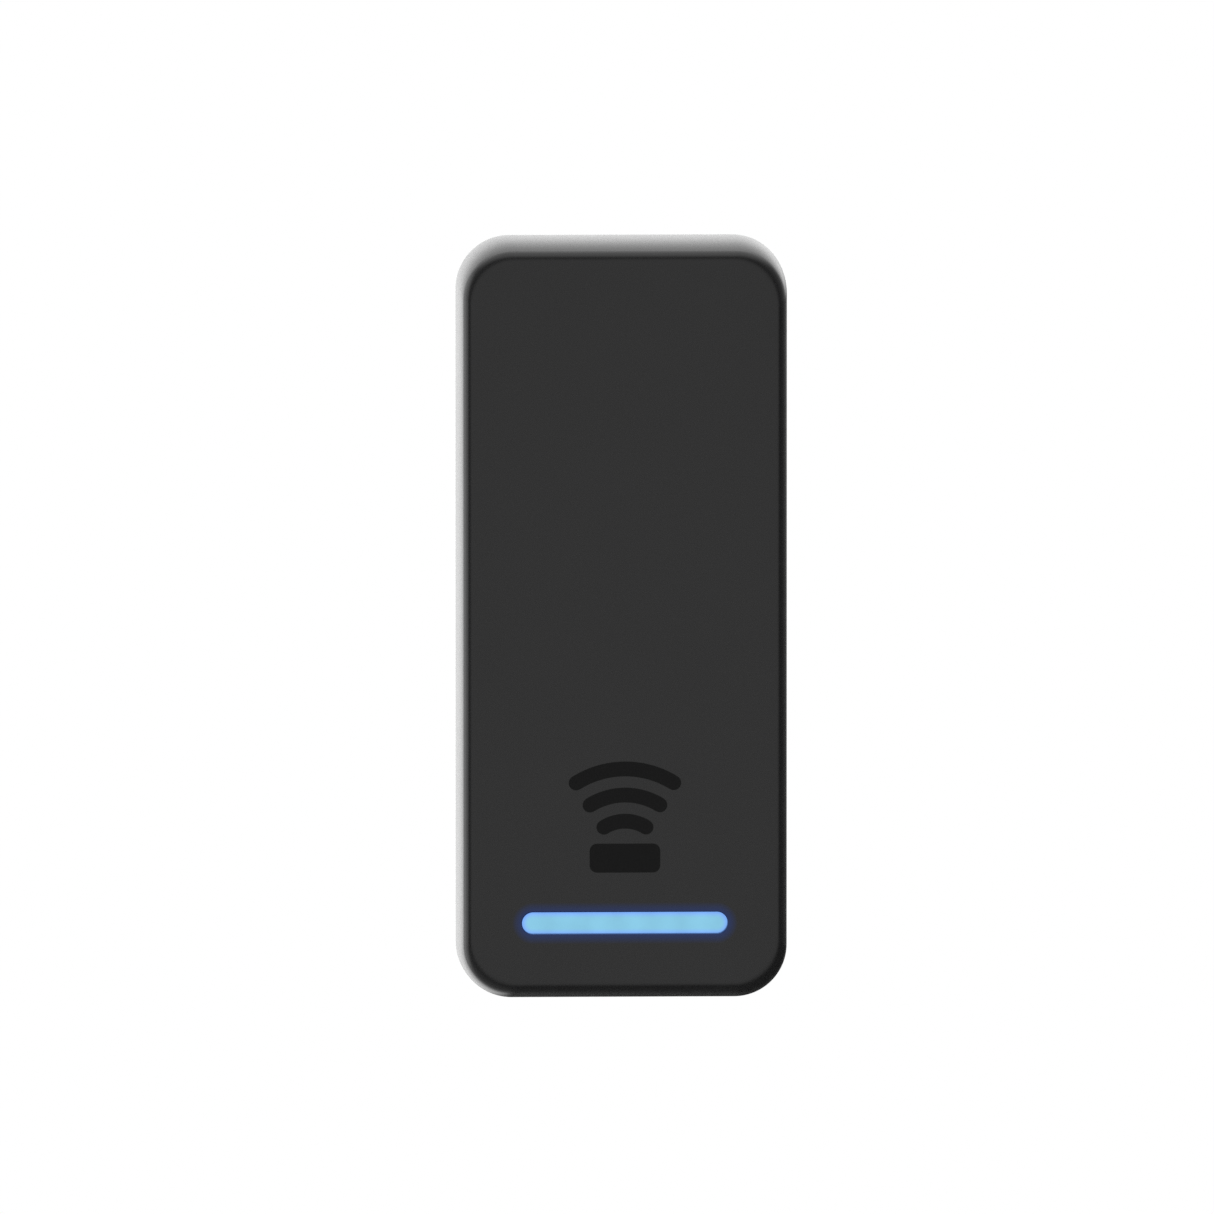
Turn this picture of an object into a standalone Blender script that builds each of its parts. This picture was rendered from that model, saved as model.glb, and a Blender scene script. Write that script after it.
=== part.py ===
"""Wall-mounted RFID card reader on its steel wall bracket.

Frame: metres, +Z up. The origin is the middle of the bracket's back face, which lies on the wall
(the plane y = 0). The reader's face looks along -Y, and +X is to the right of someone facing it.
"""

import math

import bmesh
import bpy
from mathutils import Vector

MM = 0.001
GAP = 0.2 * MM  # between pieces that rest on each other in the real assembly

# The whole reader
WIDTH = 58.0 * MM
HEIGHT = 134.0 * MM
DEPTH = 19.0 * MM
FACE_Y = -DEPTH
RIM_Y = -0.6 * MM  # back edge of the front cover, just clear of the wall

# Front cover: a flat face whose edge rolls over into drafted, slightly bulged walls
FLAT_WIDTH = 54.8 * MM
FLAT_HEIGHT = 128.0 * MM
FACE_CORNER = 8.4 * MM
REAR_CORNER = 9.4 * MM
EDGE_RADIUS = 0.8 * MM
PROFILE_ANGLES = (0, 9, 17, 25, 34, 46, 60, 75, 90)
CORNER_STEPS = 8
COVER_INNER_Y = FACE_Y + 1.8 * MM
SEAT_HALF = (27.0 * MM, 64.5 * MM)  # the bore that the rear housing slides into
SEAT_CORNER = 7.6 * MM
LEDGE_Y = -9.4 * MM  # the step in that bore, which presses the gasket
CAVITY_HALF = (25.6 * MM, 63.1 * MM)
CAVITY_FRONT_HALF = (25.4 * MM, 62.3 * MM)
CAVITY_CORNER = 6.4 * MM

# Light bar
LIGHT_Z = -53.05 * MM
LIGHT_HALF = (18.05 * MM, 1.95 * MM)
LENS_PLAY = 0.15 * MM
FLANGE_BACK = -16.0 * MM
LED_PITCH = 6.0 * MM
LED_COUNT = 6

# Rear housing
HOUSING_HALF = (26.75 * MM, 64.25 * MM)
HOUSING_CORNER = 7.4 * MM
HOUSING_Y = (-8.0 * MM, -0.9 * MM)
HOLLOW_HALF = (24.0 * MM, 61.4 * MM)
FLOOR_FRONT = -3.4 * MM
FLOOR_BACK = -1.6 * MM  # floor of the shallow pocket that the bracket lies in
SINK = 0.4 * MM  # how far a joined shape reaches into its neighbour
PAST = 1.0 * MM  # how far a cutter runs out of the wall it cuts
BAY_X = 8.4 * MM  # half width of the room for the network plug and the bend of its cable
BAY_Y = -14.4 * MM
BAY_Z = (-35.8 * MM, -7.2 * MM)
BAY_WALL = 1.0 * MM
COVER_SCREWS = [(side * 23.6 * MM, z * MM) for z in (55.0, 2.0, -51.0) for side in (-1, 1)]
BOARD_SCREWS = [(side * 15.5 * MM, z * MM) for z in (50.0, -46.0) for side in (-1, 1)]
BUTTON_AT = (14.0 * MM, 4.0 * MM)
TAMPER_AT = (-14.0 * MM, 4.0 * MM)
VENT_AT = (0.0, 20.0 * MM)

# Wall bracket: pressed from one sheet
SHEET = 1.2 * MM
BRACKET_HALF_WIDTH = 19.5 * MM
BRACKET_Z = (-52.0 * MM, 54.0 * MM)
BRACKET_PLAY = 0.8 * MM
HOOKS = [(side * 14.0 * MM, z * MM) for z in (30.0, -30.0) for side in (-1, 1)]  # roots of the hooks
HOOK_HALF_WIDTH = 3.5 * MM
HOOK_HEIGHT = 5.5 * MM
HOOK_GAP = 1.8 * MM  # between the sheet and the finger of a hook
HOOK_PLAY = 0.6 * MM
LIFT = 7.0 * MM  # how far the reader rises before its catches leave the hooks
TAB_Z = (-64.3 * MM, -63.1 * MM)  # the foot of the tongue, bent forward under the reader
TAB_REACH = 6.2 * MM
TONGUE_HALF_WIDTH = 6.0 * MM
NOTCH_HALF_WIDTH = 7.0 * MM
NOTCH_Y = -6.6 * MM
WALL_SLOT_Z = 41.65 * MM  # two slots 83.3 mm apart, the pitch of a single wall box
WALL_SLOT_HALF = (5.0 * MM, 2.3 * MM)
WINDOW_HALF_WIDTH = 8.0 * MM
WINDOW_Z = (-35.5 * MM, -9.0 * MM)

# Security screw, M2.5, driven up into the reader from below
SCREW_Y = -4.0 * MM
SCREW_RADIUS = 1.2 * MM
SCREW_TIP_Z = -57.2 * MM
SCREW_HEAD_RADIUS = 2.2 * MM
SCREW_HEAD_Z = (-66.7 * MM, -65.0 * MM)
WASHER_Z = (-64.8 * MM, -64.5 * MM)
INSERT_Z = (-62.4 * MM, -57.4 * MM)

# Boards
BOARD_Y = (-11.5 * MM, -10.3 * MM)
BOARD_HALF = (23.5 * MM, 60.0 * MM)
ANTENNA_Y = (-17.0 * MM, -16.4 * MM)
ANTENNA_HALF_WIDTH = 24.6 * MM
ANTENNA_Z = (-19.0 * MM, 60.0 * MM)
COIL_CENTRE_Z = 20.5 * MM
COIL_THICKNESS = 0.1 * MM
FERRITE_THICKNESS = 0.2 * MM
FERRITE_Z = (-16.3 * MM, 57.5 * MM)

# Network jack, its mouth facing down
JACK_HALF_WIDTH = 8.0 * MM
JACK_Y = (-15.3 * MM, -3.7 * MM)
JACK_Z = (-5.2 * MM, 10.3 * MM)
SOCKET_HALF_WIDTH = 5.95 * MM
SOCKET_Y = (-14.1 * MM, -7.0 * MM)
SOCKET_DEPTH = 13.0 * MM
CONTACT_COUNT = 8
CONTACT_PITCH = 1.02 * MM

SMOOTH_ANGLE = math.radians(35)


# Scene and materials


def clear_scene():
    for obj in list(bpy.data.objects):
        bpy.data.objects.remove(obj)


def make_material(name, colour, roughness, metallic=0.0):
    material = bpy.data.materials.new(name)
    material.use_nodes = True
    shader = material.node_tree.nodes["Principled BSDF"]
    shader.inputs["Base Color"].default_value = (*colour, 1.0)
    shader.inputs["Roughness"].default_value = roughness
    shader.inputs["Metallic"].default_value = metallic
    return material


def make_materials():
    return {
        "casing": make_material("casing_plastic", (0.031, 0.031, 0.032), 0.45),
        "dark_plastic": make_material("dark_plastic", (0.022, 0.022, 0.023), 0.5),
        "lens": make_material("lit_lens", (0.25, 0.58, 0.75), 0.3),
        "guide": make_material("light_guide_acrylic", (0.8, 0.84, 0.86), 0.1),
        "led": make_material("led_package", (0.85, 0.8, 0.55), 0.4),
        "board": make_material("board_green", (0.01, 0.13, 0.05), 0.4),
        "copper": make_material("copper_track", (0.85, 0.45, 0.28), 0.3, 1.0),
        "ferrite": make_material("ferrite", (0.05, 0.05, 0.055), 0.6),
        "steel": make_material("stainless_steel", (0.6, 0.6, 0.59), 0.32, 1.0),
        "brass": make_material("brass", (0.78, 0.57, 0.26), 0.3, 1.0),
        "gold": make_material("gold_contact", (0.9, 0.68, 0.3), 0.22, 1.0),
        "black_oxide": make_material("screw_black_oxide", (0.05, 0.05, 0.055), 0.4, 1.0),
        "rubber": make_material("silicone_rubber", (0.06, 0.06, 0.062), 0.75),
        "membrane": make_material("vent_membrane", (0.8, 0.8, 0.78), 0.8),
        "chip": make_material("chip_epoxy", (0.02, 0.02, 0.022), 0.5),
        "ceramic": make_material("ceramic", (0.75, 0.74, 0.7), 0.5),
        "aluminium": make_material("aluminium_can", (0.75, 0.75, 0.76), 0.3, 1.0),
        "button": make_material("button_grey", (0.3, 0.31, 0.32), 0.5),
    }


# Objects


def make_empty(name, location=(0.0, 0.0, 0.0), parent=None):
    empty = bpy.data.objects.new(name, None)
    bpy.context.scene.collection.objects.link(empty)
    empty.parent = parent
    empty.location = location
    return empty


def make_object(name, shape, material, parent):
    """An object from a bmesh drawn in the part's frame, with its origin on its parent's."""
    bmesh.ops.recalc_face_normals(shape, faces=shape.faces)
    mesh = bpy.data.meshes.new(name)
    shape.to_mesh(mesh)
    shape.free()
    mesh.materials.append(material)
    mesh.shade_smooth()
    mesh.set_sharp_from_angle(angle=SMOOTH_ANGLE)
    bpy.context.view_layer.update()
    mesh.transform(parent.matrix_world.inverted())
    obj = bpy.data.objects.new(name, mesh)
    bpy.context.scene.collection.objects.link(obj)
    obj.parent = parent
    return obj


def box_object(name, x_range, y_range, z_range, material, parent):
    shape = bmesh.new()
    add_box(shape, x_range, y_range, z_range)
    return make_object(name, shape, material, parent)


def apply_tool(target, name, shape, operation):
    """A Boolean on target, whose other shape is a hidden helper that moves with it."""
    tool = make_object(f"{target.name}_{name}", shape, target.data.materials[0], target)
    tool.hide_render = True
    tool.display_type = "WIRE"
    modifier = target.modifiers.new(name, "BOOLEAN")
    modifier.operation = operation
    modifier.object = tool
    modifier.solver = "EXACT"


def cut(target, name, shape):
    apply_tool(target, name, shape, "DIFFERENCE")


def join(target, name, shape):
    apply_tool(target, name, shape, "UNION")


# Shapes


def span(middle, half):
    return (middle - half, middle + half)


def loft(shape, rings, hollow=False):
    """A closed skin through rings of points: flat at both ends, or bent round into a tube."""
    loops = [[shape.verts.new(point) for point in ring] for ring in rings]
    pairs = list(zip(loops, loops[1:]))
    if hollow:
        pairs.append((loops[-1], loops[0]))
    else:
        shape.faces.new(loops[0])
        shape.faces.new(loops[-1])
    for first, second in pairs:
        for i in range(len(first)):
            j = (i + 1) % len(first)
            shape.faces.new((first[i], first[j], second[j], second[i]))


def add_box(shape, x_range, y_range, z_range):
    (x0, x1), (y0, y1), (z0, z1) = x_range, y_range, z_range
    loft(shape, [[(x0, y, z0), (x1, y, z0), (x1, y, z1), (x0, y, z1)] for y in (y0, y1)])


def add_profile(shape, outline, x_range):
    """An outline of (y, z) points drawn out along X."""
    loft(shape, [[(x, y, z) for y, z in outline] for x in x_range])


def add_prism(shape, outline, y_range):
    """An outline of (x, z) points drawn out along Y."""
    loft(shape, [at_y(outline, y) for y in y_range])


def at_y(outline, y):
    return [(x, y, z) for x, z in outline]


def rounded_rect(half, corner, centre=(0.0, 0.0), steps=CORNER_STEPS):
    """Points (x, z) of a rectangle with round corners, anticlockwise."""
    points = []
    for quarter, (sx, sz) in enumerate(((1, 1), (-1, 1), (-1, -1), (1, -1))):
        middle_x = centre[0] + sx * (half[0] - corner)
        middle_z = centre[1] + sz * (half[1] - corner)
        for step in range(steps + 1):
            angle = math.radians(90) * (quarter + step / steps)
            points.append((middle_x + corner * math.cos(angle), middle_z + corner * math.sin(angle)))
    return points


def stadium(half, centre):
    """A slot with round ends, its long side along X or Z."""
    return rounded_rect(half, min(half) * 0.999, centre)


def circle(centre, radius, along, axis, segments):
    points = []
    for i in range(segments):
        angle = math.tau * i / segments
        a = centre[0] + radius * math.cos(angle)
        b = centre[1] + radius * math.sin(angle)
        points.append((a, along, b) if axis == "Y" else (a, b, along))
    return points


def add_turned(shape, centre, profile, axis="Y", segments=20, hollow=False):
    """A turned shape from (radius, place along the axis) points; hollow joins the last to the first."""
    rings = [circle(centre, radius, along, axis, segments) for radius, along in profile]
    loft(shape, rings, hollow)


def add_cylinder(shape, centre, radius, ends, axis="Y", segments=20):
    add_turned(shape, centre, [(radius, end) for end in ends], axis, segments)


def tube_profile(inner, outer, ends):
    return [(outer, ends[0]), (outer, ends[1]), (inner, ends[1]), (inner, ends[0])]


def add_ribbon(shape, path, width, y_range):
    """A flat track of even width along a path of (x, z) points that turns only at right angles."""
    rings = []
    for i, point in enumerate(path):
        here = Vector(point)
        across = Vector((0.0, 0.0))
        for start, end in ((i - 1, i), (i, i + 1)):
            if start >= 0 and end < len(path):
                along = (Vector(path[end]) - Vector(path[start])).normalized()
                across += Vector((-along.y, along.x)) * width / 2
        left, right = here + across, here - across
        corners = ((left, y_range[0]), (right, y_range[0]), (right, y_range[1]), (left, y_range[1]))
        rings.append([(corner.x, y, corner.y) for corner, y in corners])
    loft(shape, rings)


# Front cover


def cover_ring(depth):
    """Outline of the cover's outer skin at a depth behind its face."""
    roll = math.sqrt(1 - (1 - min(depth / EDGE_RADIUS, 1.0)) ** 2)
    bulge = math.sqrt(1 - (1 - depth / (RIM_Y - FACE_Y)) ** 2)
    half_width = FLAT_WIDTH / 2 + EDGE_RADIUS * roll + ((WIDTH - FLAT_WIDTH) / 2 - EDGE_RADIUS) * bulge
    half_height = FLAT_HEIGHT / 2 + EDGE_RADIUS * roll + ((HEIGHT - FLAT_HEIGHT) / 2 - EDGE_RADIUS) * bulge
    corner = FACE_CORNER + (REAR_CORNER - FACE_CORNER) * bulge
    return at_y(rounded_rect((half_width, half_height), corner), FACE_Y + depth)


def make_front_cover(parent, materials):
    reach = RIM_Y - FACE_Y
    rings = [cover_ring(reach * (1 - math.cos(math.radians(angle)))) for angle in PROFILE_ANGLES]
    rings += [at_y(rounded_rect(SEAT_HALF, SEAT_CORNER), y) for y in (RIM_Y, LEDGE_Y)]
    rings.append(at_y(rounded_rect(CAVITY_HALF, CAVITY_CORNER), LEDGE_Y))
    rings.append(at_y(rounded_rect(CAVITY_FRONT_HALF, CAVITY_CORNER), COVER_INNER_Y))
    shape = bmesh.new()
    loft(shape, rings)
    cover = make_object("front_cover", shape, materials["casing"], parent)

    boss_radius = 2.4 * MM
    boss_end = LEDGE_Y - 0.3 * MM
    bosses = bmesh.new()
    for centre in COVER_SCREWS:
        add_cylinder(bosses, centre, boss_radius, (COVER_INNER_Y - SINK, boss_end))
    join(cover, "screw_bosses", bosses)

    pilot_radius = 1.15 * MM
    pilot_bottom = -15.0 * MM
    holes = bmesh.new()
    for centre in COVER_SCREWS:
        add_cylinder(holes, centre, pilot_radius, (pilot_bottom, boss_end + PAST), segments=12)
    add_prism(holes, stadium(LIGHT_HALF, (0.0, LIGHT_Z)), (FACE_Y - PAST, COVER_INNER_Y + PAST))
    notch_z = (-HEIGHT / 2 - PAST, -SEAT_HALF[1] + PAST)
    add_box(holes, span(0.0, NOTCH_HALF_WIDTH), (NOTCH_Y, RIM_Y + PAST), notch_z)
    cut(cover, "holes_slot_and_notch", holes)


# Light bar behind the face


def make_light(parent, materials):
    lens_half = [half - LENS_PLAY for half in LIGHT_HALF]
    window = rounded_rect(lens_half, lens_half[1] * 0.999, (0.0, LIGHT_Z))
    flange = rounded_rect((19.6 * MM, 3.3 * MM), 1.5 * MM, (0.0, LIGHT_Z))
    step = COVER_INNER_Y + GAP
    shape = bmesh.new()
    loft(shape, [at_y(window, FACE_Y), at_y(window, step), at_y(flange, step), at_y(flange, FLANGE_BACK)])
    make_object("light_lens", shape, materials["lens"], parent)

    guide_half = (18.0 * MM, 2.2 * MM)
    guide_back = -13.2 * MM
    guide = bmesh.new()
    outline = rounded_rect(guide_half, 1.0 * MM, (0.0, LIGHT_Z), steps=3)
    add_prism(guide, outline, (FLANGE_BACK + GAP, guide_back))
    make_object("light_guide", guide, materials["guide"], parent)

    led_half = (1.75 * MM, 1.4 * MM)
    led_height = 1.2 * MM
    foot = BOARD_Y[0] - GAP
    for number in range(LED_COUNT):
        x_range = span((number - (LED_COUNT - 1) / 2) * LED_PITCH, led_half[0])
        z_range = span(LIGHT_Z, led_half[1])
        name = f"status_led_{number + 1}"
        box_object(name, x_range, (foot - led_height, foot), z_range, materials["led"], parent)


# Rear housing


def wall_screw_recess(side, margin):
    """Room for a wall screw's head, as long as the lift; side is 1 for the upper slot, -1 for the lower."""
    half = (7.2 * MM + margin, LIFT / 2 + 4.7 * MM + margin)
    return rounded_rect(half, 4.5 * MM, (0.0, side * WALL_SLOT_Z - LIFT / 2), steps=4)


def hook_pocket(root):
    """Side view (y, z) of the opening that a hook enters and of the undercut that it catches in."""
    lip_front = -2.7 * MM
    bottom = -4.8 * MM
    low = root - LIFT - 1.5 * MM
    mouth_top = root + 0.3 * MM
    top = root + HOOK_HEIGHT + HOOK_PLAY
    return [(PAST, low), (PAST, mouth_top), (lip_front, mouth_top), (lip_front, top), (bottom, top), (bottom, low)]


def make_rear_housing(parent, materials):
    shape = bmesh.new()
    add_prism(shape, rounded_rect(HOUSING_HALF, HOUSING_CORNER), HOUSING_Y)
    housing = make_object("rear_housing", shape, materials["dark_plastic"], parent)
    hollow = bmesh.new()
    add_prism(hollow, rounded_rect(HOLLOW_HALF, 5 * MM), (HOUSING_Y[0] - PAST, FLOOR_FRONT))
    cut(housing, "hollow", hollow)
    join_housing_pillars(housing)
    join_housing_blocks(housing)
    cut_housing_pockets(housing)
    cut_housing_bores(housing)


def join_housing_pillars(housing):
    root = FLOOR_FRONT + SINK
    pillars = bmesh.new()
    for centre in COVER_SCREWS:
        add_cylinder(pillars, centre, 3.1 * MM, (HOUSING_Y[0] + GAP, root))
    for centre in BOARD_SCREWS:
        add_cylinder(pillars, centre, 2.2 * MM, (BOARD_Y[1] + GAP, root))
    join(housing, "pillars", pillars)
    spigots = bmesh.new()
    for centre in COVER_SCREWS:
        add_cylinder(spigots, centre, 1.95 * MM, (LEDGE_Y, HOUSING_Y[0] + 1 * MM))
    join(housing, "spigots", spigots)


def join_housing_blocks(housing):
    root = FLOOR_FRONT + SINK
    block_front = -6.0 * MM
    blocks = bmesh.new()
    for x, z in HOOKS:
        z_range = (z - LIFT - 2.6 * MM, z + HOOK_HEIGHT + 1.7 * MM)
        add_box(blocks, span(x, 5.1 * MM), (block_front, root), z_range)
    add_box(blocks, span(0.0, 8.6 * MM), (HOUSING_Y[0] + GAP, root), (-62.4 * MM, -55.3 * MM))
    join(housing, "catch_and_insert_blocks", blocks)

    bay = bmesh.new()
    bay_z = (BAY_Z[0] - BAY_WALL, BAY_Z[1] + BAY_WALL)
    add_box(bay, span(0.0, BAY_X + BAY_WALL), (BAY_Y - BAY_WALL, root), bay_z)
    join(housing, "plug_bay", bay)

    recess_front = -5.6 * MM
    recesses = bmesh.new()
    for side in (-1, 1):
        add_prism(recesses, wall_screw_recess(side, 1.0 * MM), (recess_front, root))
    join(housing, "wall_screw_recesses", recesses)


def cut_housing_pockets(housing):
    pocket_z = (BRACKET_Z[0] - LIFT - 1.0 * MM, BRACKET_Z[1] + BRACKET_PLAY)
    half = (BRACKET_HALF_WIDTH + BRACKET_PLAY, (pocket_z[1] - pocket_z[0]) / 2)
    pocket = bmesh.new()
    add_prism(pocket, rounded_rect(half, 4.5 * MM, (0.0, sum(pocket_z) / 2)), (FLOOR_BACK, PAST))
    cut(housing, "bracket_pocket", pocket)

    notch_top = -62.6 * MM
    notch = bmesh.new()
    add_box(notch, span(0.0, NOTCH_HALF_WIDTH), (NOTCH_Y, PAST), (-HOUSING_HALF[1] - PAST, notch_top))
    cut(housing, "tab_notch", notch)

    openings = bmesh.new()
    channel_z = (notch_top - PAST, pocket_z[0] + PAST)
    add_box(openings, span(0.0, NOTCH_HALF_WIDTH - GAP), (FLOOR_BACK - GAP, PAST), channel_z)
    add_box(openings, span(0.0, BAY_X), (BAY_Y, PAST), BAY_Z)
    for x, z in HOOKS:
        add_profile(openings, hook_pocket(z), span(x, HOOK_HALF_WIDTH + HOOK_PLAY))
    cut(housing, "bay_channel_and_hook_pockets", openings)

    recess_bottom = -4.4 * MM
    recesses = bmesh.new()
    for side in (-1, 1):
        add_prism(recesses, wall_screw_recess(side, 0.0), (recess_bottom, PAST))
    mouth_z = (BAY_Z[1] - PAST, BAY_Z[1] + BAY_WALL + PAST)
    add_box(recesses, span(0.0, 6.6 * MM), (BAY_Y + GAP, -4.2 * MM), mouth_z)
    cut(housing, "recesses_and_jack_mouth", recesses)


def cut_housing_bores(housing):
    bores = bmesh.new()
    for centre in COVER_SCREWS:
        wide, narrow, shoulder = 2.4 * MM, 1.3 * MM, -2.8 * MM
        profile = [(narrow, LEDGE_Y - PAST), (narrow, shoulder), (wide, shoulder), (wide, PAST)]
        add_turned(bores, centre, profile, segments=16)
    for centre in BOARD_SCREWS:
        add_cylinder(bores, centre, 1.05 * MM, (BOARD_Y[1] - PAST, -4.4 * MM), segments=12)
    for centre, radius in ((BUTTON_AT, 1.9 * MM), (TAMPER_AT, 1.45 * MM), (VENT_AT, 1.2 * MM)):
        add_cylinder(bores, centre, radius, (FLOOR_FRONT - PAST, PAST), segments=16)
    insert_bore = (INSERT_Z[0] - PAST, INSERT_Z[1] + PAST)
    add_cylinder(bores, (0.0, SCREW_Y), 1.85 * MM, insert_bore, axis="Z", segments=16)
    cut(housing, "bores", bores)


# Seals


def make_seals(parent, materials):
    seat = (LEDGE_Y + GAP, HOUSING_Y[0] - GAP)
    outer_half = [half - 0.25 * MM for half in SEAT_HALF]
    inner_half = [half - 1.25 * MM for half in SEAT_HALF]
    shape = bmesh.new()
    outer, inner = rounded_rect(outer_half, 7.3 * MM), rounded_rect(inner_half, 6.3 * MM)
    loft(shape, [at_y(outer, seat[0]), at_y(outer, seat[1]), at_y(inner, seat[1]), at_y(inner, seat[0])], hollow=True)
    make_object("perimeter_gasket", shape, materials["rubber"], parent)

    seal_z = (BAY_Z[1] + BAY_WALL + GAP, JACK_Z[0] - GAP)
    outer = rounded_rect((JACK_HALF_WIDTH - GAP, 5.5 * MM), 1.0 * MM, (0.0, -9.5 * MM), steps=3)
    inner = rounded_rect((6.9 * MM, 4.9 * MM), 0.6 * MM, (0.0, -9.3 * MM), steps=3)
    ends = [[(x, y, z) for x, y in outline] for outline, z in
            ((outer, seal_z[0]), (outer, seal_z[1]), (inner, seal_z[1]), (inner, seal_z[0]))]
    seal = bmesh.new()
    loft(seal, ends, hollow=True)
    make_object("jack_seal", seal, materials["rubber"], parent)

    disc = bmesh.new()
    add_cylinder(disc, VENT_AT, 4.0 * MM, (FLOOR_FRONT - GAP - 0.3 * MM, FLOOR_FRONT - GAP))
    make_object("vent_membrane", disc, materials["membrane"], parent)


# Boards and what is soldered to them


def cut_boss_notches(board, y_range):
    notches = bmesh.new()
    for centre in COVER_SCREWS:
        add_cylinder(notches, centre, 2.9 * MM, (y_range[0] - PAST, y_range[1] + PAST), segments=16)
    cut(board, "boss_notches", notches)


def make_main_board(parent, materials):
    shape = bmesh.new()
    add_prism(shape, rounded_rect(BOARD_HALF, 5.0 * MM, steps=4), BOARD_Y)
    board = make_object("main_board", shape, materials["board"], parent)
    cut_boss_notches(board, BOARD_Y)
    through = (BOARD_Y[0] - PAST, BOARD_Y[1] + PAST)
    holes = bmesh.new()
    for centre in BOARD_SCREWS:
        add_cylinder(holes, centre, 1.2 * MM, through, segments=12)
    around_bay = (BAY_Z[0] - BAY_WALL - 0.6 * MM, JACK_Z[1] + 0.6 * MM)
    add_box(holes, span(0.0, BAY_X + BAY_WALL + 0.5 * MM), through, around_bay)
    cut(board, "window_and_holes", holes)


def spiral_path(half, turns, pitch):
    """Corners (x, z) of a rectangular coil that winds inwards from its lower left corner."""
    path = []
    for turn in range(turns):
        w, h = (side - turn * pitch for side in half)
        start_x = -w if turn == 0 else -w - pitch
        path += [(x, COIL_CENTRE_Z + z) for x, z in ((start_x, -h), (w, -h), (w, h), (-w, h))]
    return path


def make_antenna(parent, materials):
    middle = sum(ANTENNA_Z) / 2
    half = (ANTENNA_HALF_WIDTH, ANTENNA_Z[1] - middle)
    shape = bmesh.new()
    add_prism(shape, rounded_rect(half, 5.0 * MM, (0.0, middle), steps=4), ANTENNA_Y)
    board = make_object("antenna_board", shape, materials["board"], parent)
    cut_boss_notches(board, ANTENNA_Y)

    clearance = 0.1 * MM
    coil_y = (ANTENNA_Y[1] + clearance, ANTENNA_Y[1] + clearance + COIL_THICKNESS)
    coil = bmesh.new()
    path = spiral_path((18.6 * MM, 35.8 * MM), turns=5, pitch=1.4 * MM)
    add_ribbon(coil, path, 0.7 * MM, coil_y)
    make_object("antenna_coil", coil, materials["copper"], parent)

    ferrite_front = coil_y[1] + clearance
    ferrite_y = (ferrite_front, ferrite_front + FERRITE_THICKNESS)
    box_object("ferrite_sheet", span(0.0, 19.2 * MM), ferrite_y, FERRITE_Z, materials["ferrite"], parent)
    header_y = (ANTENNA_Y[1] + GAP, BOARD_Y[0] - GAP)
    header_z = (-18.7 * MM, -16.9 * MM)
    box_object("antenna_header", (12.5 * MM, 17.5 * MM), header_y, header_z, materials["chip"], parent)


def make_jack(parent, materials):
    jack = box_object("network_jack", span(0.0, JACK_HALF_WIDTH), JACK_Y, JACK_Z, materials["chip"], parent)
    ear_y = (BOARD_Y[1] + GAP, BOARD_Y[1] + GAP + 0.6 * MM)
    ears = bmesh.new()
    add_box(ears, span(0.0, JACK_HALF_WIDTH + 3.0 * MM), ear_y, (1.5 * MM, 6.5 * MM))
    join(jack, "ears", ears)

    depth_z = (JACK_Z[0] - PAST, JACK_Z[0] + SOCKET_DEPTH)
    latch_half_width = 3.2 * MM
    latch_back = -4.9 * MM
    outline = [
        (-SOCKET_HALF_WIDTH, SOCKET_Y[0]),
        (SOCKET_HALF_WIDTH, SOCKET_Y[0]),
        (SOCKET_HALF_WIDTH, SOCKET_Y[1]),
        (latch_half_width, SOCKET_Y[1]),
        (latch_half_width, latch_back),
        (-latch_half_width, latch_back),
        (-latch_half_width, SOCKET_Y[1]),
        (-SOCKET_HALF_WIDTH, SOCKET_Y[1]),
    ]
    socket = bmesh.new()
    loft(socket, [[(x, y, z) for x, y in outline] for z in depth_z])
    cut(jack, "socket", socket)

    comb_front = SOCKET_Y[0] + GAP
    carrier = (comb_front, comb_front + 0.7 * MM), (depth_z[1] - 1.6 * MM, depth_z[1] - GAP)
    half_width = CONTACT_PITCH * CONTACT_COUNT / 2
    contacts = box_object("jack_contacts", span(0.0, half_width), *carrier, materials["gold"], parent)
    prongs = bmesh.new()
    for number in range(CONTACT_COUNT):
        x = (number - (CONTACT_COUNT - 1) / 2) * CONTACT_PITCH
        low = (comb_front, JACK_Z[0] + 2.0 * MM)
        bend = (comb_front + 1.9 * MM, JACK_Z[0] + 9.0 * MM)
        root = (comb_front + 0.1 * MM, depth_z[1] - 1.2 * MM)
        wire = 0.35 * MM
        outline = [low, bend, root, (root[0] + wire, root[1]), (bend[0] + wire, bend[1]), (low[0] + wire, low[1])]
        add_profile(prongs, outline, span(x, 0.22 * MM))
    join(contacts, "prongs", prongs)


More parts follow.
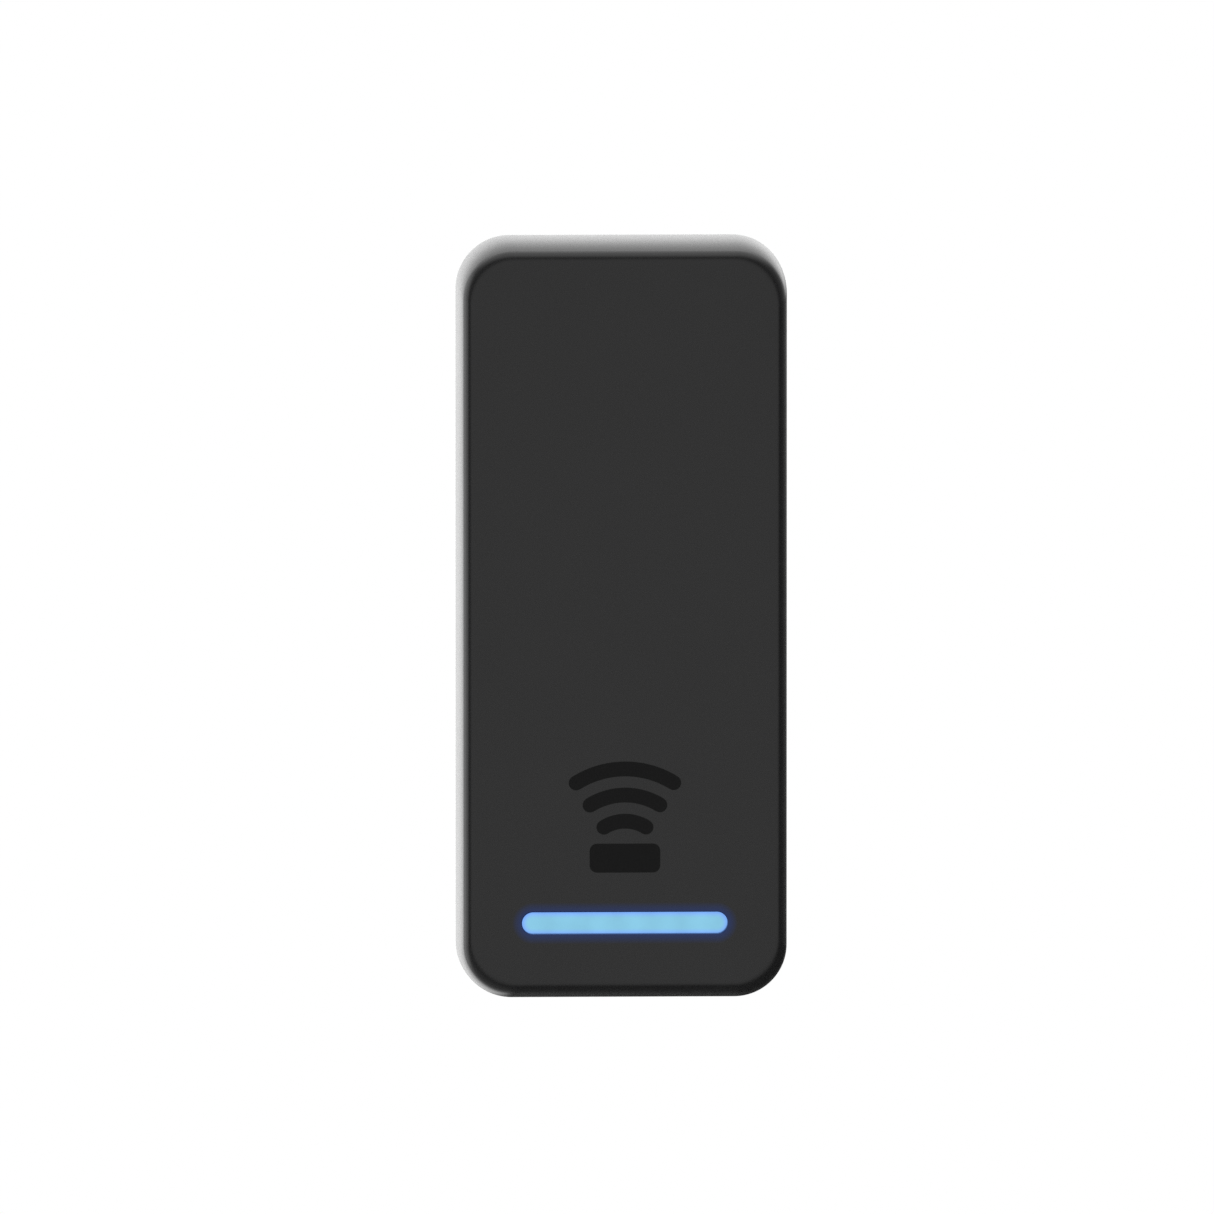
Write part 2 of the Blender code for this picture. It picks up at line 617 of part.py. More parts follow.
def make_components(parent, materials):
    """Parts on the main board's front side, each a low block or can standing on the board."""
    foot = BOARD_Y[0] - GAP
    blocks = (
        ("radio_shield", (-9.0, 9.0), (37.0, 56.0), 2.2, "steel"),
        ("controller_chip", (-9.5, -1.5), (23.0, 31.0), 1.0, "chip"),
        ("memory_chip", (3.0, 9.0), (24.0, 29.0), 1.0, "chip"),
        ("clock_crystal", (12.5, 15.7), (26.0, 28.5), 0.9, "steel"),
        ("network_magnetics", (-8.0, 8.0), (12.0, 19.5), 2.6, "chip"),
        ("power_transformer", (-12.3, -2.3), (-49.0, -38.8), 4.6, "ferrite"),
        ("chip_antenna", (-20.5, -13.5), (-31.0, -29.0), 1.2, "ceramic"),
    )
    for name, x_range, z_range, height, finish in blocks:
        x_range, z_range = ([value * MM for value in ends] for ends in (x_range, z_range))
        box_object(name, x_range, (foot - height * MM, foot), z_range, materials[finish], parent)
    cans = (
        ("capacitor_1", (2.0, -44.0), 2.6, 4.4, "aluminium"),
        ("capacitor_2", (8.4, -44.0), 2.6, 4.4, "aluminium"),
        ("buzzer", (16.8, -29.0), 4.8, 2.6, "chip"),
    )
    for name, centre, radius, height, finish in cans:
        shape = bmesh.new()
        centre = [value * MM for value in centre]
        add_cylinder(shape, centre, radius * MM, (foot - height * MM, foot))
        make_object(name, shape, materials[finish], parent)


# Screws


def make_screw(name, centre, radii, places, material, parent, axis="Y"):
    """radii are of the drive recess, head and shank; places are the head's outer and inner ends and the tip."""
    recess, head, shank = radii
    outer, inner, tip = places
    recess_bottom = outer + 0.6 * (inner - outer)
    profile = [
        (recess, recess_bottom),
        (recess, outer),
        (head, outer),
        (head, inner),
        (shank, inner),
        (shank, tip),
    ]
    shape = bmesh.new()
    add_turned(shape, centre, profile, axis, segments=16)
    make_object(name, shape, material, parent)


def make_casing_screws(parent, materials):
    for number, centre in enumerate(COVER_SCREWS, start=1):
        radii = (0.9 * MM, 2.0 * MM, 1.0 * MM)
        places = (-1.2 * MM, -2.6 * MM, -14.2 * MM)
        make_screw(f"housing_screw_{number}", centre, radii, places, materials["black_oxide"], parent)
    for number, centre in enumerate(BOARD_SCREWS, start=1):
        radii = (0.8 * MM, 1.9 * MM, 0.9 * MM)
        places = (BOARD_Y[0] - GAP - 1.3 * MM, BOARD_Y[0] - GAP, -5.2 * MM)
        make_screw(f"board_screw_{number}", centre, radii, places, materials["steel"], parent)


# Reset button and tamper plunger


def make_reset_button(reader, axis, materials):
    flange = (-4.6 * MM, -3.8 * MM)
    profile = [
        (1.1 * MM, -8.0 * MM),
        (1.1 * MM, flange[0]),
        (2.5 * MM, flange[0]),
        (2.5 * MM, flange[1]),
        (1.6 * MM, flange[1]),
        (1.6 * MM, -2.2 * MM),
        (1.3 * MM, -1.9 * MM),
    ]
    shape = bmesh.new()
    add_turned(shape, BUTTON_AT, profile)
    make_object("reset_button", shape, materials["button"], axis)

    switch_top = -8.9 * MM
    x, z = BUTTON_AT
    foot = BOARD_Y[1] + GAP
    switch = box_object(
        "reset_switch", span(x, 2.2 * MM), (foot, switch_top), span(z, 1.7 * MM), materials["chip"], reader
    )
    actuator = bmesh.new()
    add_cylinder(actuator, BUTTON_AT, 0.9 * MM, (switch_top - SINK, switch_top + 0.1 * MM), segments=12)
    join(switch, "actuator", actuator)


def make_tamper_plunger(reader, axis, materials):
    flange = (-5.8 * MM, -5.1 * MM)
    profile = [
        (0.7 * MM, -8.2 * MM),
        (0.7 * MM, flange[0]),
        (2.2 * MM, flange[0]),
        (2.2 * MM, flange[1]),
        (1.2 * MM, flange[1]),
        (1.2 * MM, -0.7 * MM),
        (0.6 * MM, -0.15 * MM),
    ]
    shape = bmesh.new()
    add_turned(shape, TAMPER_AT, profile)
    make_object("tamper_plunger", shape, materials["dark_plastic"], axis)

    switch_top = -8.7 * MM
    x, z = TAMPER_AT
    foot = BOARD_Y[1] + GAP
    box_object("tamper_switch", span(x, 2.4 * MM), (foot, switch_top), span(z, 2.0 * MM), materials["chip"], reader)
    spring = bmesh.new()
    wire = 0.18 * MM
    ends = (switch_top + GAP + wire, flange[0] - GAP - wire)
    add_coil_spring(spring, TAMPER_AT, 1.3 * MM, wire, ends, turns=4)
    make_object("tamper_spring", spring, materials["steel"], reader)


def add_coil_spring(shape, centre, radius, wire, ends, turns):
    """A round wire wound about a line along Y at centre (x, z)."""
    steps_per_turn = 12
    sides = 6
    rings = []
    for step in range(turns * steps_per_turn + 1):
        turned = math.tau * step / steps_per_turn
        along = ends[0] + (ends[1] - ends[0]) * step / (turns * steps_per_turn)
        ring = []
        for side in range(sides):
            angle = math.tau * side / sides
            reach = radius + wire * math.cos(angle)
            x = centre[0] + reach * math.cos(turned)
            z = centre[1] + reach * math.sin(turned)
            ring.append((x, along + wire * math.sin(angle), z))
        rings.append(ring)
    loft(shape, rings)


# Wall bracket and its security screw


def make_bracket(parent, materials):
    middle = sum(BRACKET_Z) / 2
    half = (BRACKET_HALF_WIDTH, BRACKET_Z[1] - middle)
    shape = bmesh.new()
    add_prism(shape, rounded_rect(half, 4.0 * MM, (0.0, middle)), (-SHEET, 0.0))
    bracket = make_object("wall_bracket", shape, materials["steel"], parent)

    through = (-SHEET - PAST, PAST)
    windows = bmesh.new()
    window_middle = sum(WINDOW_Z) / 2
    window_half = (WINDOW_HALF_WIDTH, WINDOW_Z[1] - window_middle)
    add_prism(windows, rounded_rect(window_half, 2.0 * MM, (0.0, window_middle), steps=4), through)
    for side in (-1, 1):
        add_prism(windows, stadium(WALL_SLOT_HALF, (0.0, side * WALL_SLOT_Z)), through)
    for x, z in HOOKS:
        relief_height = HOOK_HEIGHT + 2.0 * MM
        add_box(windows, span(x, HOOK_HALF_WIDTH + 0.8 * MM), through, (z, z + relief_height))
    add_cylinder(windows, BUTTON_AT, 2.6 * MM, through)
    x, z = TAMPER_AT
    slot_half = (2.0 * MM, 2.0 * MM + LIFT / 2)
    add_prism(windows, stadium(slot_half, (x, z + LIFT / 2)), through)
    cut(bracket, "windows", windows)

    hooks = bmesh.new()
    for x, z in HOOKS:
        add_profile(hooks, hook_profile(z), span(x, HOOK_HALF_WIDTH))
    tongue = [
        (0.0, BRACKET_Z[0] + PAST),
        (0.0, TAB_Z[0]),
        (-TAB_REACH, TAB_Z[0]),
        (-TAB_REACH, TAB_Z[1]),
        (-SHEET, TAB_Z[1]),
        (-SHEET, BRACKET_Z[0] + PAST),
    ]
    add_profile(hooks, tongue, span(0.0, TONGUE_HALF_WIDTH))
    join(bracket, "hooks_and_tongue", hooks)

    screw_hole = bmesh.new()
    hole_z = (TAB_Z[0] - PAST, TAB_Z[1] + PAST)
    add_cylinder(screw_hole, (0.0, SCREW_Y), SCREW_RADIUS + GAP, hole_z, axis="Z", segments=16)
    cut(bracket, "screw_hole", screw_hole)


def hook_profile(root):
    """Side view (y, z) of a hook: a web out of the sheet and a finger that points up."""
    back = -SHEET - HOOK_GAP
    front = back - SHEET
    inside = -SHEET / 2
    top = root + HOOK_HEIGHT
    return [(inside, root - SHEET), (inside, root), (back, root), (back, top), (front, top), (front, root - SHEET)]


def make_security_screw(reader, washer_axis, screw_axis, materials):
    washer = bmesh.new()
    profile = tube_profile(SCREW_RADIUS + GAP, SCREW_HEAD_RADIUS + GAP, WASHER_Z)
    add_turned(washer, (0.0, SCREW_Y), profile, axis="Z", hollow=True)
    make_object("screw_washer", washer, materials["steel"], washer_axis)

    radii = (1.0 * MM, SCREW_HEAD_RADIUS, SCREW_RADIUS)
    places = (*SCREW_HEAD_Z, SCREW_TIP_Z)
    make_screw("security_screw", (0.0, SCREW_Y), radii, places, materials["black_oxide"], screw_axis, axis="Z")

    insert = bmesh.new()
    profile = tube_profile(SCREW_RADIUS + GAP, 1.7 * MM, INSERT_Z)
    add_turned(insert, (0.0, SCREW_Y), profile, axis="Z", hollow=True)
    make_object("screw_insert", insert, materials["brass"], reader)


def make_part():
    clear_scene()
    materials = make_materials()
    bracket = make_empty("bracket")
    reader = make_empty("reader", parent=bracket)
    washer_axis = make_empty("washer_axis", (0.0, SCREW_Y, WASHER_Z[0]), bracket)
    screw_axis = make_empty("screw_axis", parent=washer_axis)
    reset_axis = make_empty("reset_axis", (BUTTON_AT[0], FLOOR_FRONT, BUTTON_AT[1]), reader)
    tamper_axis = make_empty("tamper_axis", (TAMPER_AT[0], FLOOR_FRONT, TAMPER_AT[1]), reader)
    make_bracket(bracket, materials)
    make_security_screw(reader, washer_axis, screw_axis, materials)
    make_front_cover(reader, materials)
    make_light(reader, materials)
    make_rear_housing(reader, materials)
    make_seals(reader, materials)
    make_main_board(reader, materials)
    make_antenna(reader, materials)
    make_jack(reader, materials)
    make_components(reader, materials)
    make_casing_screws(reader, materials)
    make_reset_button(reader, reset_axis, materials)
    make_tamper_plunger(reader, tamper_axis, materials)


make_part()
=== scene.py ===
import math

import bmesh
import bpy
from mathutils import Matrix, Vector


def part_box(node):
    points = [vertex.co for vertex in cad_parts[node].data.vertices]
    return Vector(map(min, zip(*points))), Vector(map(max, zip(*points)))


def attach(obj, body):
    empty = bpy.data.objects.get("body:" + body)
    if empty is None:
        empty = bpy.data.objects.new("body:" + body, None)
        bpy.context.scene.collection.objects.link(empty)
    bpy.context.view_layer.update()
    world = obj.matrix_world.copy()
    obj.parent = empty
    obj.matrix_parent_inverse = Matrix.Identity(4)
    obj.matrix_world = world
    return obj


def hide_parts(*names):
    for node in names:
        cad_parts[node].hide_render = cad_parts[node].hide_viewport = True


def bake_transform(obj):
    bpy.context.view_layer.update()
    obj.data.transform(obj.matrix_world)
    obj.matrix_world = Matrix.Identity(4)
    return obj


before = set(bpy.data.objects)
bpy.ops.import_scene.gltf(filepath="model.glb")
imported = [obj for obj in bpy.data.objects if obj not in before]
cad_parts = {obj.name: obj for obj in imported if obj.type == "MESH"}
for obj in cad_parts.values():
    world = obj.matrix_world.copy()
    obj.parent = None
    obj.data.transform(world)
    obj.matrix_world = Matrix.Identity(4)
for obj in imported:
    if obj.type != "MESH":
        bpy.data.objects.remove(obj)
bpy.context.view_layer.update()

# The looks of the wall-mounted card reader: +Z up, the face towards -Y, the wall at y = 0.
# Every size here is in millimetres. loft() and the materials turn them into Blender's metres.
MM = 0.001


def ranges(node):
    """A CAD node's box as its x, y and z ranges."""
    low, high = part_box(node)
    return [(low[i] / MM, high[i] / MM) for i in range(3)]


READER = "reader"
BRACKET = "bracket"

# Front cover
COVER_X, COVER_Y, COVER_Z = ranges("front_cover")
COVER_HALF = (COVER_X[1], COVER_Z[1])
INK_HEIGHT = 0.03  # the face lies this far behind the reader's front, for the ink on it
FACE_Y = COVER_Y[0] + INK_HEIGHT
RIM_Y = COVER_Y[1]
FACE_HALF = (26.55, 63.15)
FACE_CORNER = 8.4
RIM_CORNER = 9.4
EDGE_RADIUS = 1.3
FLAT_BAND = 0.4  # the face is dead flat by this far from the light's slot and from its own edge
SLOT_HALF = (18.05, 1.92)
SLOT_ROUND = 0.18
LENS_BACK = ranges("light_lens")[1][1]
LENS_PLAY = 0.12
LIGHT_Z = sum(ranges("light_lens")[2]) / 2 + 0.19
LEDGE_Y = -9.4  # the ledge inside the cover that the seal presses on
NOTCH_HALF, NOTCH_FRONT = 7.0, -6.6  # the notch for the bracket's foot
BOSS_RADIUS, PILOT_RADIUS = 2.4, 1.15  # the posts that the casing screws drive into
PAST = 1.0  # how far a cutter runs out of the wall it cuts

# Rear housing
HOUSING_HALF = (26.75, 64.25)
HOUSING_CORNER = 7.4
HOUSING_BACK = ranges("rear_housing")[1][1]
FLOOR_FRONT, FLOOR_BACK = -3.4, -1.6
BAY_Z = (-35.8, -7.2)
POCKET_Z = (-60.0, 54.8)  # the shallow pocket that the bracket lies in
RIB_Z = (-15.0, 15.5, 42.0)
COVER_SCREWS = [(side * 23.6, z) for z in (55.0, 2.0, -51.0) for side in (-1, 1)]
BOARD_SCREWS = [(side * 15.5, z) for z in (50.0, -46.0) for side in (-1, 1)]
BUTTON_AT = (14.0, 4.0)
TAMPER_AT = (-14.0, 4.0)
VENT_AT = (0.0, 20.0)
SCREW_AT = (0.0, -4.0)  # x and y of the upright security screw
SCREW_STEPS = 36
BOARD_FRONT = ranges("main_board")[1][0]
JACK_PITCH = 1.02

# Wall bracket
SHEET = 1.2
SHEET_BEND = 0.85
HOOKS = [(side * 14.0, z) for z in (30.0, -30.0) for side in (-1, 1)]
HOOK_HALF_WIDTH = 3.5
HOOK_HEIGHT = 5.5
HOOK_GAP = 1.8
LIFT = 7.0
WALL_SLOT_Z = 41.65

# Level cuts through the holes of each flat piece, which leave its faces without slivers
HOUSING_LEVELS = (55, 50, 42, 38, 28.8, 20, 15.5, 3.2, -15, -21.5, -31.2, -46, -51, -58.8)
BRACKET_LEVELS = (WALL_SLOT_Z, 33, 4, -22, -27, -WALL_SLOT_Z)
BOARD_LEVELS = (50, 2, -46)
SHARP_ANGLE = 35  # degrees at which an edge is shaded sharp
BEVEL_ANGLE = 40  # degrees at which an outer edge is rounded

# The camera
VIEW_AZIMUTH = -2.5
VIEW_ELEVATION = 4.6
VIEW_DISTANCE = 6000.0
FRAME_WIDTH = 212.9  # across the picture, at the reader
SENSOR = 36.0
FACE_OFFSET = (3.15, -2.79)  # the face's centre, right of and above the picture's centre


# Outlines


def middle(value_range):
    return (value_range[0] + value_range[1]) / 2


def half_size(value_range):
    return (value_range[1] - value_range[0]) / 2


def span(centre, half):
    return (centre - half, centre + half)


def grow(value_range, amount):
    return (value_range[0] - amount, value_range[1] + amount)


def shrink(half, amount):
    return [side - amount for side in half]


def at_y(outline, y):
    return [(x, y, z) for x, z in outline]


def arc(centre, radius, start, end, steps):
    """Points round a centre from one angle to another, in degrees."""
    angles = [math.radians(start + (end - start) * step / steps) for step in range(steps + 1)]
    return [(centre[0] + radius * math.cos(a), centre[1] + radius * math.sin(a)) for a in angles]


def rounded_rect(half, corner, centre=(0.0, 0.0), steps=24):
    """Points (x, z) of a rectangle with round corners, anticlockwise."""
    points = []
    for quarter, (sx, sz) in enumerate(((1, 1), (-1, 1), (-1, -1), (1, -1))):
        at = (centre[0] + sx * (half[0] - corner), centre[1] + sz * (half[1] - corner))
        points += arc(at, corner, 90 * quarter, 90 * quarter + 90, steps)
    return points


def stadium(half, centre):
    """A slot with round ends, its long side along X or Z."""
    return rounded_rect(half, min(half) * 0.999, centre)


def quarter_roll(radius, steps):
    """How far in and how far back a rolled edge is, from its side to its top."""
    angles = [math.radians(90) * step / steps for step in range(steps + 1)]
    return [(radius * (1 - math.cos(a)), radius * (1 - math.sin(a))) for a in angles]


def clipped_section(outer, inner, ends, edge):
    """A ring's section as (radius, place) points, its corners clipped."""
    (low, high), way = ends, edge if inner > outer else -edge
    up = [(outer + way, low), (outer, low + edge), (outer, high - edge), (outer + way, high)]
    return up + [(inner - way, high), (inner, high - edge), (inner, low + edge), (inner - way, low)]


def ring(centre, along, radius_at, axis="Y", segments=48):
    """Points round an axis; radius_at is a radius, or gives one from the angle."""
    points = []
    for i in range(segments):
        angle = math.tau * i / segments
        radius = radius_at(angle) if callable(radius_at) else radius_at
        a = centre[0] + radius * math.cos(angle)
        b = centre[1] + radius * math.sin(angle)
        points.append((a, along, b) if axis == "Y" else (a, b, along))
    return points


def squarish(half):
    """The radius of a rounded rectangle, as a function of the angle."""

    def radius(angle):
        return (abs(math.cos(angle) / half[0]) ** 8 + abs(math.sin(angle) / half[1]) ** 8) ** (-1 / 8)

    return radius


def round_path(points, radius, steps):
    """A path of 2-D or 3-D points with its inner corners rounded off."""
    corners = [Vector(point) for point in points]
    path = [corners[0]]
    for before, corner, after in zip(corners, corners[1:], corners[2:]):
        start = corner + (before - corner).normalized() * min(radius, (corner - before).length * 0.49)
        end = corner + (after - corner).normalized() * min(radius, (after - corner).length * 0.49)
        for step in range(steps + 1):
            t = step / steps
            path.append(start.lerp(corner, t).lerp(corner.lerp(end, t), t))
    return path + [corners[-1]]


def headings(path):
    """The direction of a path at each of its points."""
    last = len(path) - 1
    return [(path[min(i + 1, last)] - path[max(i - 1, 0)]).normalized() for i in range(len(path))]


def strip_outline(points, thickness, bend_radius, steps=6):
    """Side view of a flat strip bent at right angles along its middle line."""
    corners = [Vector(point) for point in points]
    stations = [(corners[0], (corners[1] - corners[0]).normalized())]
    for before, corner, after in zip(corners, corners[1:], corners[2:]):
        into, out = (corner - before).normalized(), (after - corner).normalized()
        centre = corner + (out - into) * bend_radius
        for step in range(steps + 1):
            angle = math.radians(90) * step / steps
            spoke = into * math.sin(angle) - out * math.cos(angle)
            stations.append((centre + spoke * bend_radius, into * math.cos(angle) + out * math.sin(angle)))
    stations.append((corners[-1], (corners[-1] - corners[-2]).normalized()))
    across = [Vector((-heading.y, heading.x)) * thickness / 2 for _, heading in stations]
    left = [point + side for (point, _), side in zip(stations, across)]
    right = [point - side for (point, _), side in zip(stations, across)]
    # Rounded, so that faces meant to lie in one plane do
    return [(round(point.x, 5), round(point.y, 5)) for point in left + right[::-1]]


# Shapes: each of these adds to a bmesh and returns it


def new_shapes(count):
    return [bmesh.new() for _ in range(count)]


def loft(shape, rings, hollow=False):
    """A closed skin through rings of points: flat at both ends, or bent round into a tube."""
    loops = [[shape.verts.new([value * MM for value in point]) for point in points] for points in rings]
    pairs = list(zip(loops, loops[1:]))
    if hollow:
        pairs.append((loops[-1], loops[0]))
    else:
        shape.faces.new(loops[0])
        shape.faces.new(loops[-1])
    for first, second in pairs:
        for i in range(len(first)):
            j = (i + 1) % len(first)
            shape.faces.new((first[i], first[j], second[j], second[i]))
    return shape


def add_box(shape, x_range, y_range, z_range):
    (x0, x1), (z0, z1) = x_range, z_range
    return loft(shape, [at_y([(x0, z0), (x1, z0), (x1, z1), (x0, z1)], y) for y in y_range])


def add_prism(shape, outline, y_range):
    """An outline of (x, z) points drawn out along Y."""
    return loft(shape, [at_y(outline, y) for y in y_range])


def add_profile(shape, outline, x_range):
    """An outline of (y, z) points drawn out along X."""
    return loft(shape, [[(x, y, z) for y, z in outline] for x in x_range])


def add_block(shape, x_range, y_range, z_range, corner, edge, steps=5, roll=3):
    """A block with round corners, as seen along Y, and rolled edges at both its Y ends."""
    centre = (middle(x_range), middle(z_range))
    half = (half_size(x_range), half_size(z_range))
    front, back = [], []
    for inset, drop in quarter_roll(edge, roll)[::-1]:
        outline = rounded_rect(shrink(half, inset), max(corner - inset, 0.3 * corner), centre, steps)
        front.append(at_y(outline, y_range[0] + drop))
        back.append(at_y(outline, y_range[1] - drop))
    return loft(shape, front + back[::-1])


def add_turned(shape, centre, profile, axis="Y", segments=48, hollow=False):
    """A turned shape from (radius, place along the axis) points; hollow joins the last to the first."""
    return loft(shape, [ring(centre, along, radius, axis, segments) for radius, along in profile], hollow)


def add_cylinder(shape, centre, radius, ends, axis="Y", segments=32):
    return add_turned(shape, centre, [(radius, end) for end in ends], axis, segments)


def add_wire(shape, path, sideways, radius, sides=10):
    """A round wire along a path of points; sideways holds one direction across it for each point."""
    rings = []
    turns = [math.tau * side / sides for side in range(sides)]
    for point, heading, side in zip(path, headings(path), sideways):
        other = heading.cross(side).normalized()
        rings.append([point + (side * math.cos(a) + other * math.sin(a)) * radius for a in turns])
    return loft(shape, rings)


# Pieces


def new_object(name, shape):
    """An object with a shape for its mesh, which uses the shape up."""
    bmesh.ops.recalc_face_normals(shape, faces=shape.faces)
    mesh = bpy.data.meshes.new(name)
    shape.to_mesh(mesh)
    shape.free()
    thing = bpy.data.objects.new(name, mesh)
    bpy.context.scene.collection.objects.link(thing)
    return thing


def shade_edges(piece):
    """Shades a piece smooth, apart from its sharp edges."""
    piece.data.shade_smooth()
    piece.data.set_sharp_from_angle(angle=math.radians(SHARP_ANGLE))


def make_piece(name, shape, look, nodes=(), body=READER):
    """A named piece from a shape, riding on a body, and standing for some CAD nodes."""
    material, slot = LOOKS[look]
    piece = new_object(name, shape)
    piece.data.materials.append(material)
    shade_edges(piece)
    if body:
        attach(piece, body)
    if nodes:
        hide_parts(*nodes)
    return piece


def combine(piece, operation, *shapes):
    """Cuts shapes out of a piece, or joins them on, and keeps only the result."""
    for shape in shapes:
        tool = new_object("tool", shape)
        modifier = piece.modifiers.new("combine", "BOOLEAN")
        modifier.operation = operation
        modifier.object = tool
        modifier.solver = "EXACT"
        bpy.context.view_layer.update()
        evaluated = piece.evaluated_get(bpy.context.evaluated_depsgraph_get())
        mesh = bpy.data.meshes.new_from_object(evaluated)
        mesh.name = piece.name
        piece.modifiers.clear()
        piece.data = mesh
        bpy.data.objects.remove(tool)
    shade_edges(piece)


def clean_faces(piece, levels):
    """Redraws flat faces without slivers: level cuts through their holes, and no other cut in them."""
    shape = bmesh.new()
    shape.from_mesh(piece.data)
    for z in levels:
        everything = shape.verts[:] + shape.edges[:] + shape.faces[:]
        plane = {"plane_co": (0.0, 0.0, z * MM), "plane_no": (0.0, 0.0, 1.0), "dist": 1e-7}
        result = bmesh.ops.bisect_plane(shape, geom=everything, **plane)
        for element in result["geom_cut"]:
            if isinstance(element, bmesh.types.BMEdge):
                element.seam = True
    limit = math.radians(0.5)
    bmesh.ops.dissolve_limit(shape, angle_limit=limit, verts=shape.verts, edges=shape.edges, delimit={"SEAM"})
    shape.to_mesh(piece.data)
    shape.free()
    shade_edges(piece)


def soften(piece, width):
    """Rounds a piece's sharp outer edges; its inner corners stay sharp."""
    shape = bmesh.new()
    shape.from_mesh(piece.data)
    weight = shape.edges.layers.float.new("bevel_weight_edge")
    for edge in shape.edges:
        if edge.is_manifold and edge.is_convex and edge.calc_face_angle() > math.radians(BEVEL_ANGLE):
            edge[weight] = 1.0
    shape.to_mesh(piece.data)
    shape.free()
    modifier = piece.modifiers.new("soften", "BEVEL")
    modifier.width = width * MM
    modifier.segments = 2
    modifier.limit_method = "WEIGHT"
    modifier.use_clamp_overlap = False
    modifier.harden_normals = True


# Shader nodes


def add_node(tree, kind, inputs=None, **settings):
    """A shader node; an input given as a socket is linked, and any other is a value."""
    node = tree.nodes.new(kind)
    for key, value in settings.items():
        setattr(node, key, value)
    for key, value in (inputs or {}).items():
        socket = node.inputs[key]
        if isinstance(value, bpy.types.NodeSocket):
            tree.links.new(value, socket)
        else:
            socket.default_value = value
    return node


def maths(tree, operation, *values):
    return add_node(tree, "ShaderNodeMath", dict(enumerate(values)), operation=operation).outputs[0]


def product(tree, vector, factors):
    return add_node(tree, "ShaderNodeVectorMath", {0: vector, 1: factors}, operation="MULTIPLY").outputs[0]


def scaled(tree, colour, factor):
    return add_node(tree, "ShaderNodeVectorMath", {0: colour, "Scale": factor}, operation="SCALE").outputs[0]


def object_point(tree):
    return add_node(tree, "ShaderNodeTexCoord").outputs["Object"]


def axes(tree, vector):
    return add_node(tree, "ShaderNodeSeparateXYZ", {0: vector}).outputs


def noise(tree, point, size, detail=2.0):
    """Noise from 0 to 1 whose features are about size across."""
    inputs = {"Vector": point, "Scale": 1 / (size * MM), "Detail": detail}
    return add_node(tree, "ShaderNodeTexNoise", inputs).outputs["Fac"]


def remap(tree, value, start, end, low=0.0, high=1.0, curve="LINEAR"):
    inputs = {"Value": value, "From Min": start, "From Max": end, "To Min": low, "To Max": high}
    return add_node(tree, "ShaderNodeMapRange", inputs, interpolation_type=curve).outputs["Result"]


def spread(tree, value, low, high):
    """value, from 0.3 to 0.7 as noise mostly is, spread from low to high."""
    return remap(tree, value, 0.3, 0.7, low, high)


def step_up(tree, value, start, end):
    """0 below start, 1 above end, and a smooth rise between."""
    return remap(tree, value, start, end, curve="SMOOTHSTEP")


def shades(tree, value, low, high):
    """A colour between two, by a value from 0 to 1; low may be a socket."""
    node = add_node(tree, "ShaderNodeMix", {0: value}, data_type="RGBA")
    start, end = (socket for socket in node.inputs if socket.type == "RGBA")
    if isinstance(low, bpy.types.NodeSocket):
        tree.links.new(low, start)
    else:
        start.default_value = (*low, 1.0)
    end.default_value = (*high, 1.0)
    return next(socket for socket in node.outputs if socket.type == "RGBA")


def srgb(*levels):
    """Linear colour of 8-bit display levels above 10."""
    return tuple(((level / 255 + 0.055) / 1.055) ** 2.4 for level in levels)


def stripes(tree, coordinate, pitch, share):
    """1 on the lines and 0 between them; share is how much of each pitch a line takes."""
    place = maths(tree, "FRACT", maths(tree, "DIVIDE", coordinate, pitch * MM))
    return maths(tree, "LESS_THAN", place, share)


def slot_distance(tree, point):
    """Metres from the light slot's edge, negative inside it."""
    parts = axes(tree, point)
    straight = (SLOT_HALF[0] - SLOT_HALF[1]) * MM
    past = maths(tree, "SUBTRACT", maths(tree, "ABSOLUTE", parts["X"]), straight)
    sides = (maths(tree, "MAXIMUM", past, 0.0), maths(tree, "SUBTRACT", parts["Z"], LIGHT_Z * MM))
    squares = [maths(tree, "POWER", side, 2.0) for side in sides]
    return maths(tree, "SUBTRACT", maths(tree, "SQRT", maths(tree, "ADD", *squares)), SLOT_HALF[1] * MM)


# Materials


def start_material(name, colour, roughness, metallic=0.0, specular=0.5):
    material = bpy.data.materials.new(name)
    material.use_nodes = True
    tree = material.node_tree
    shader = tree.nodes["Principled BSDF"]
    shader.inputs["Base Color"].default_value = (*colour, 1.0)
    shader.inputs["Roughness"].default_value = roughness
    shader.inputs["Metallic"].default_value = metallic
    shader.inputs["Specular IOR Level"].default_value = specular
    return material, tree, shader


def drive(tree, shader, **values):
    """Links sockets to a shader's inputs, named with _ for a space."""
    for name, value in values.items():
        tree.links.new(value, shader.inputs[name.replace("_", " ")])


def bump(tree, shader, height, depth, strength=1.0):
    """Gives a shader relief: height from 0 to 1 stands for depth."""
    inputs = {"Height": height, "Distance": depth * MM, "Strength": strength}
    drive(tree, shader, Normal=add_node(tree, "ShaderNodeBump", inputs).outputs["Normal"])


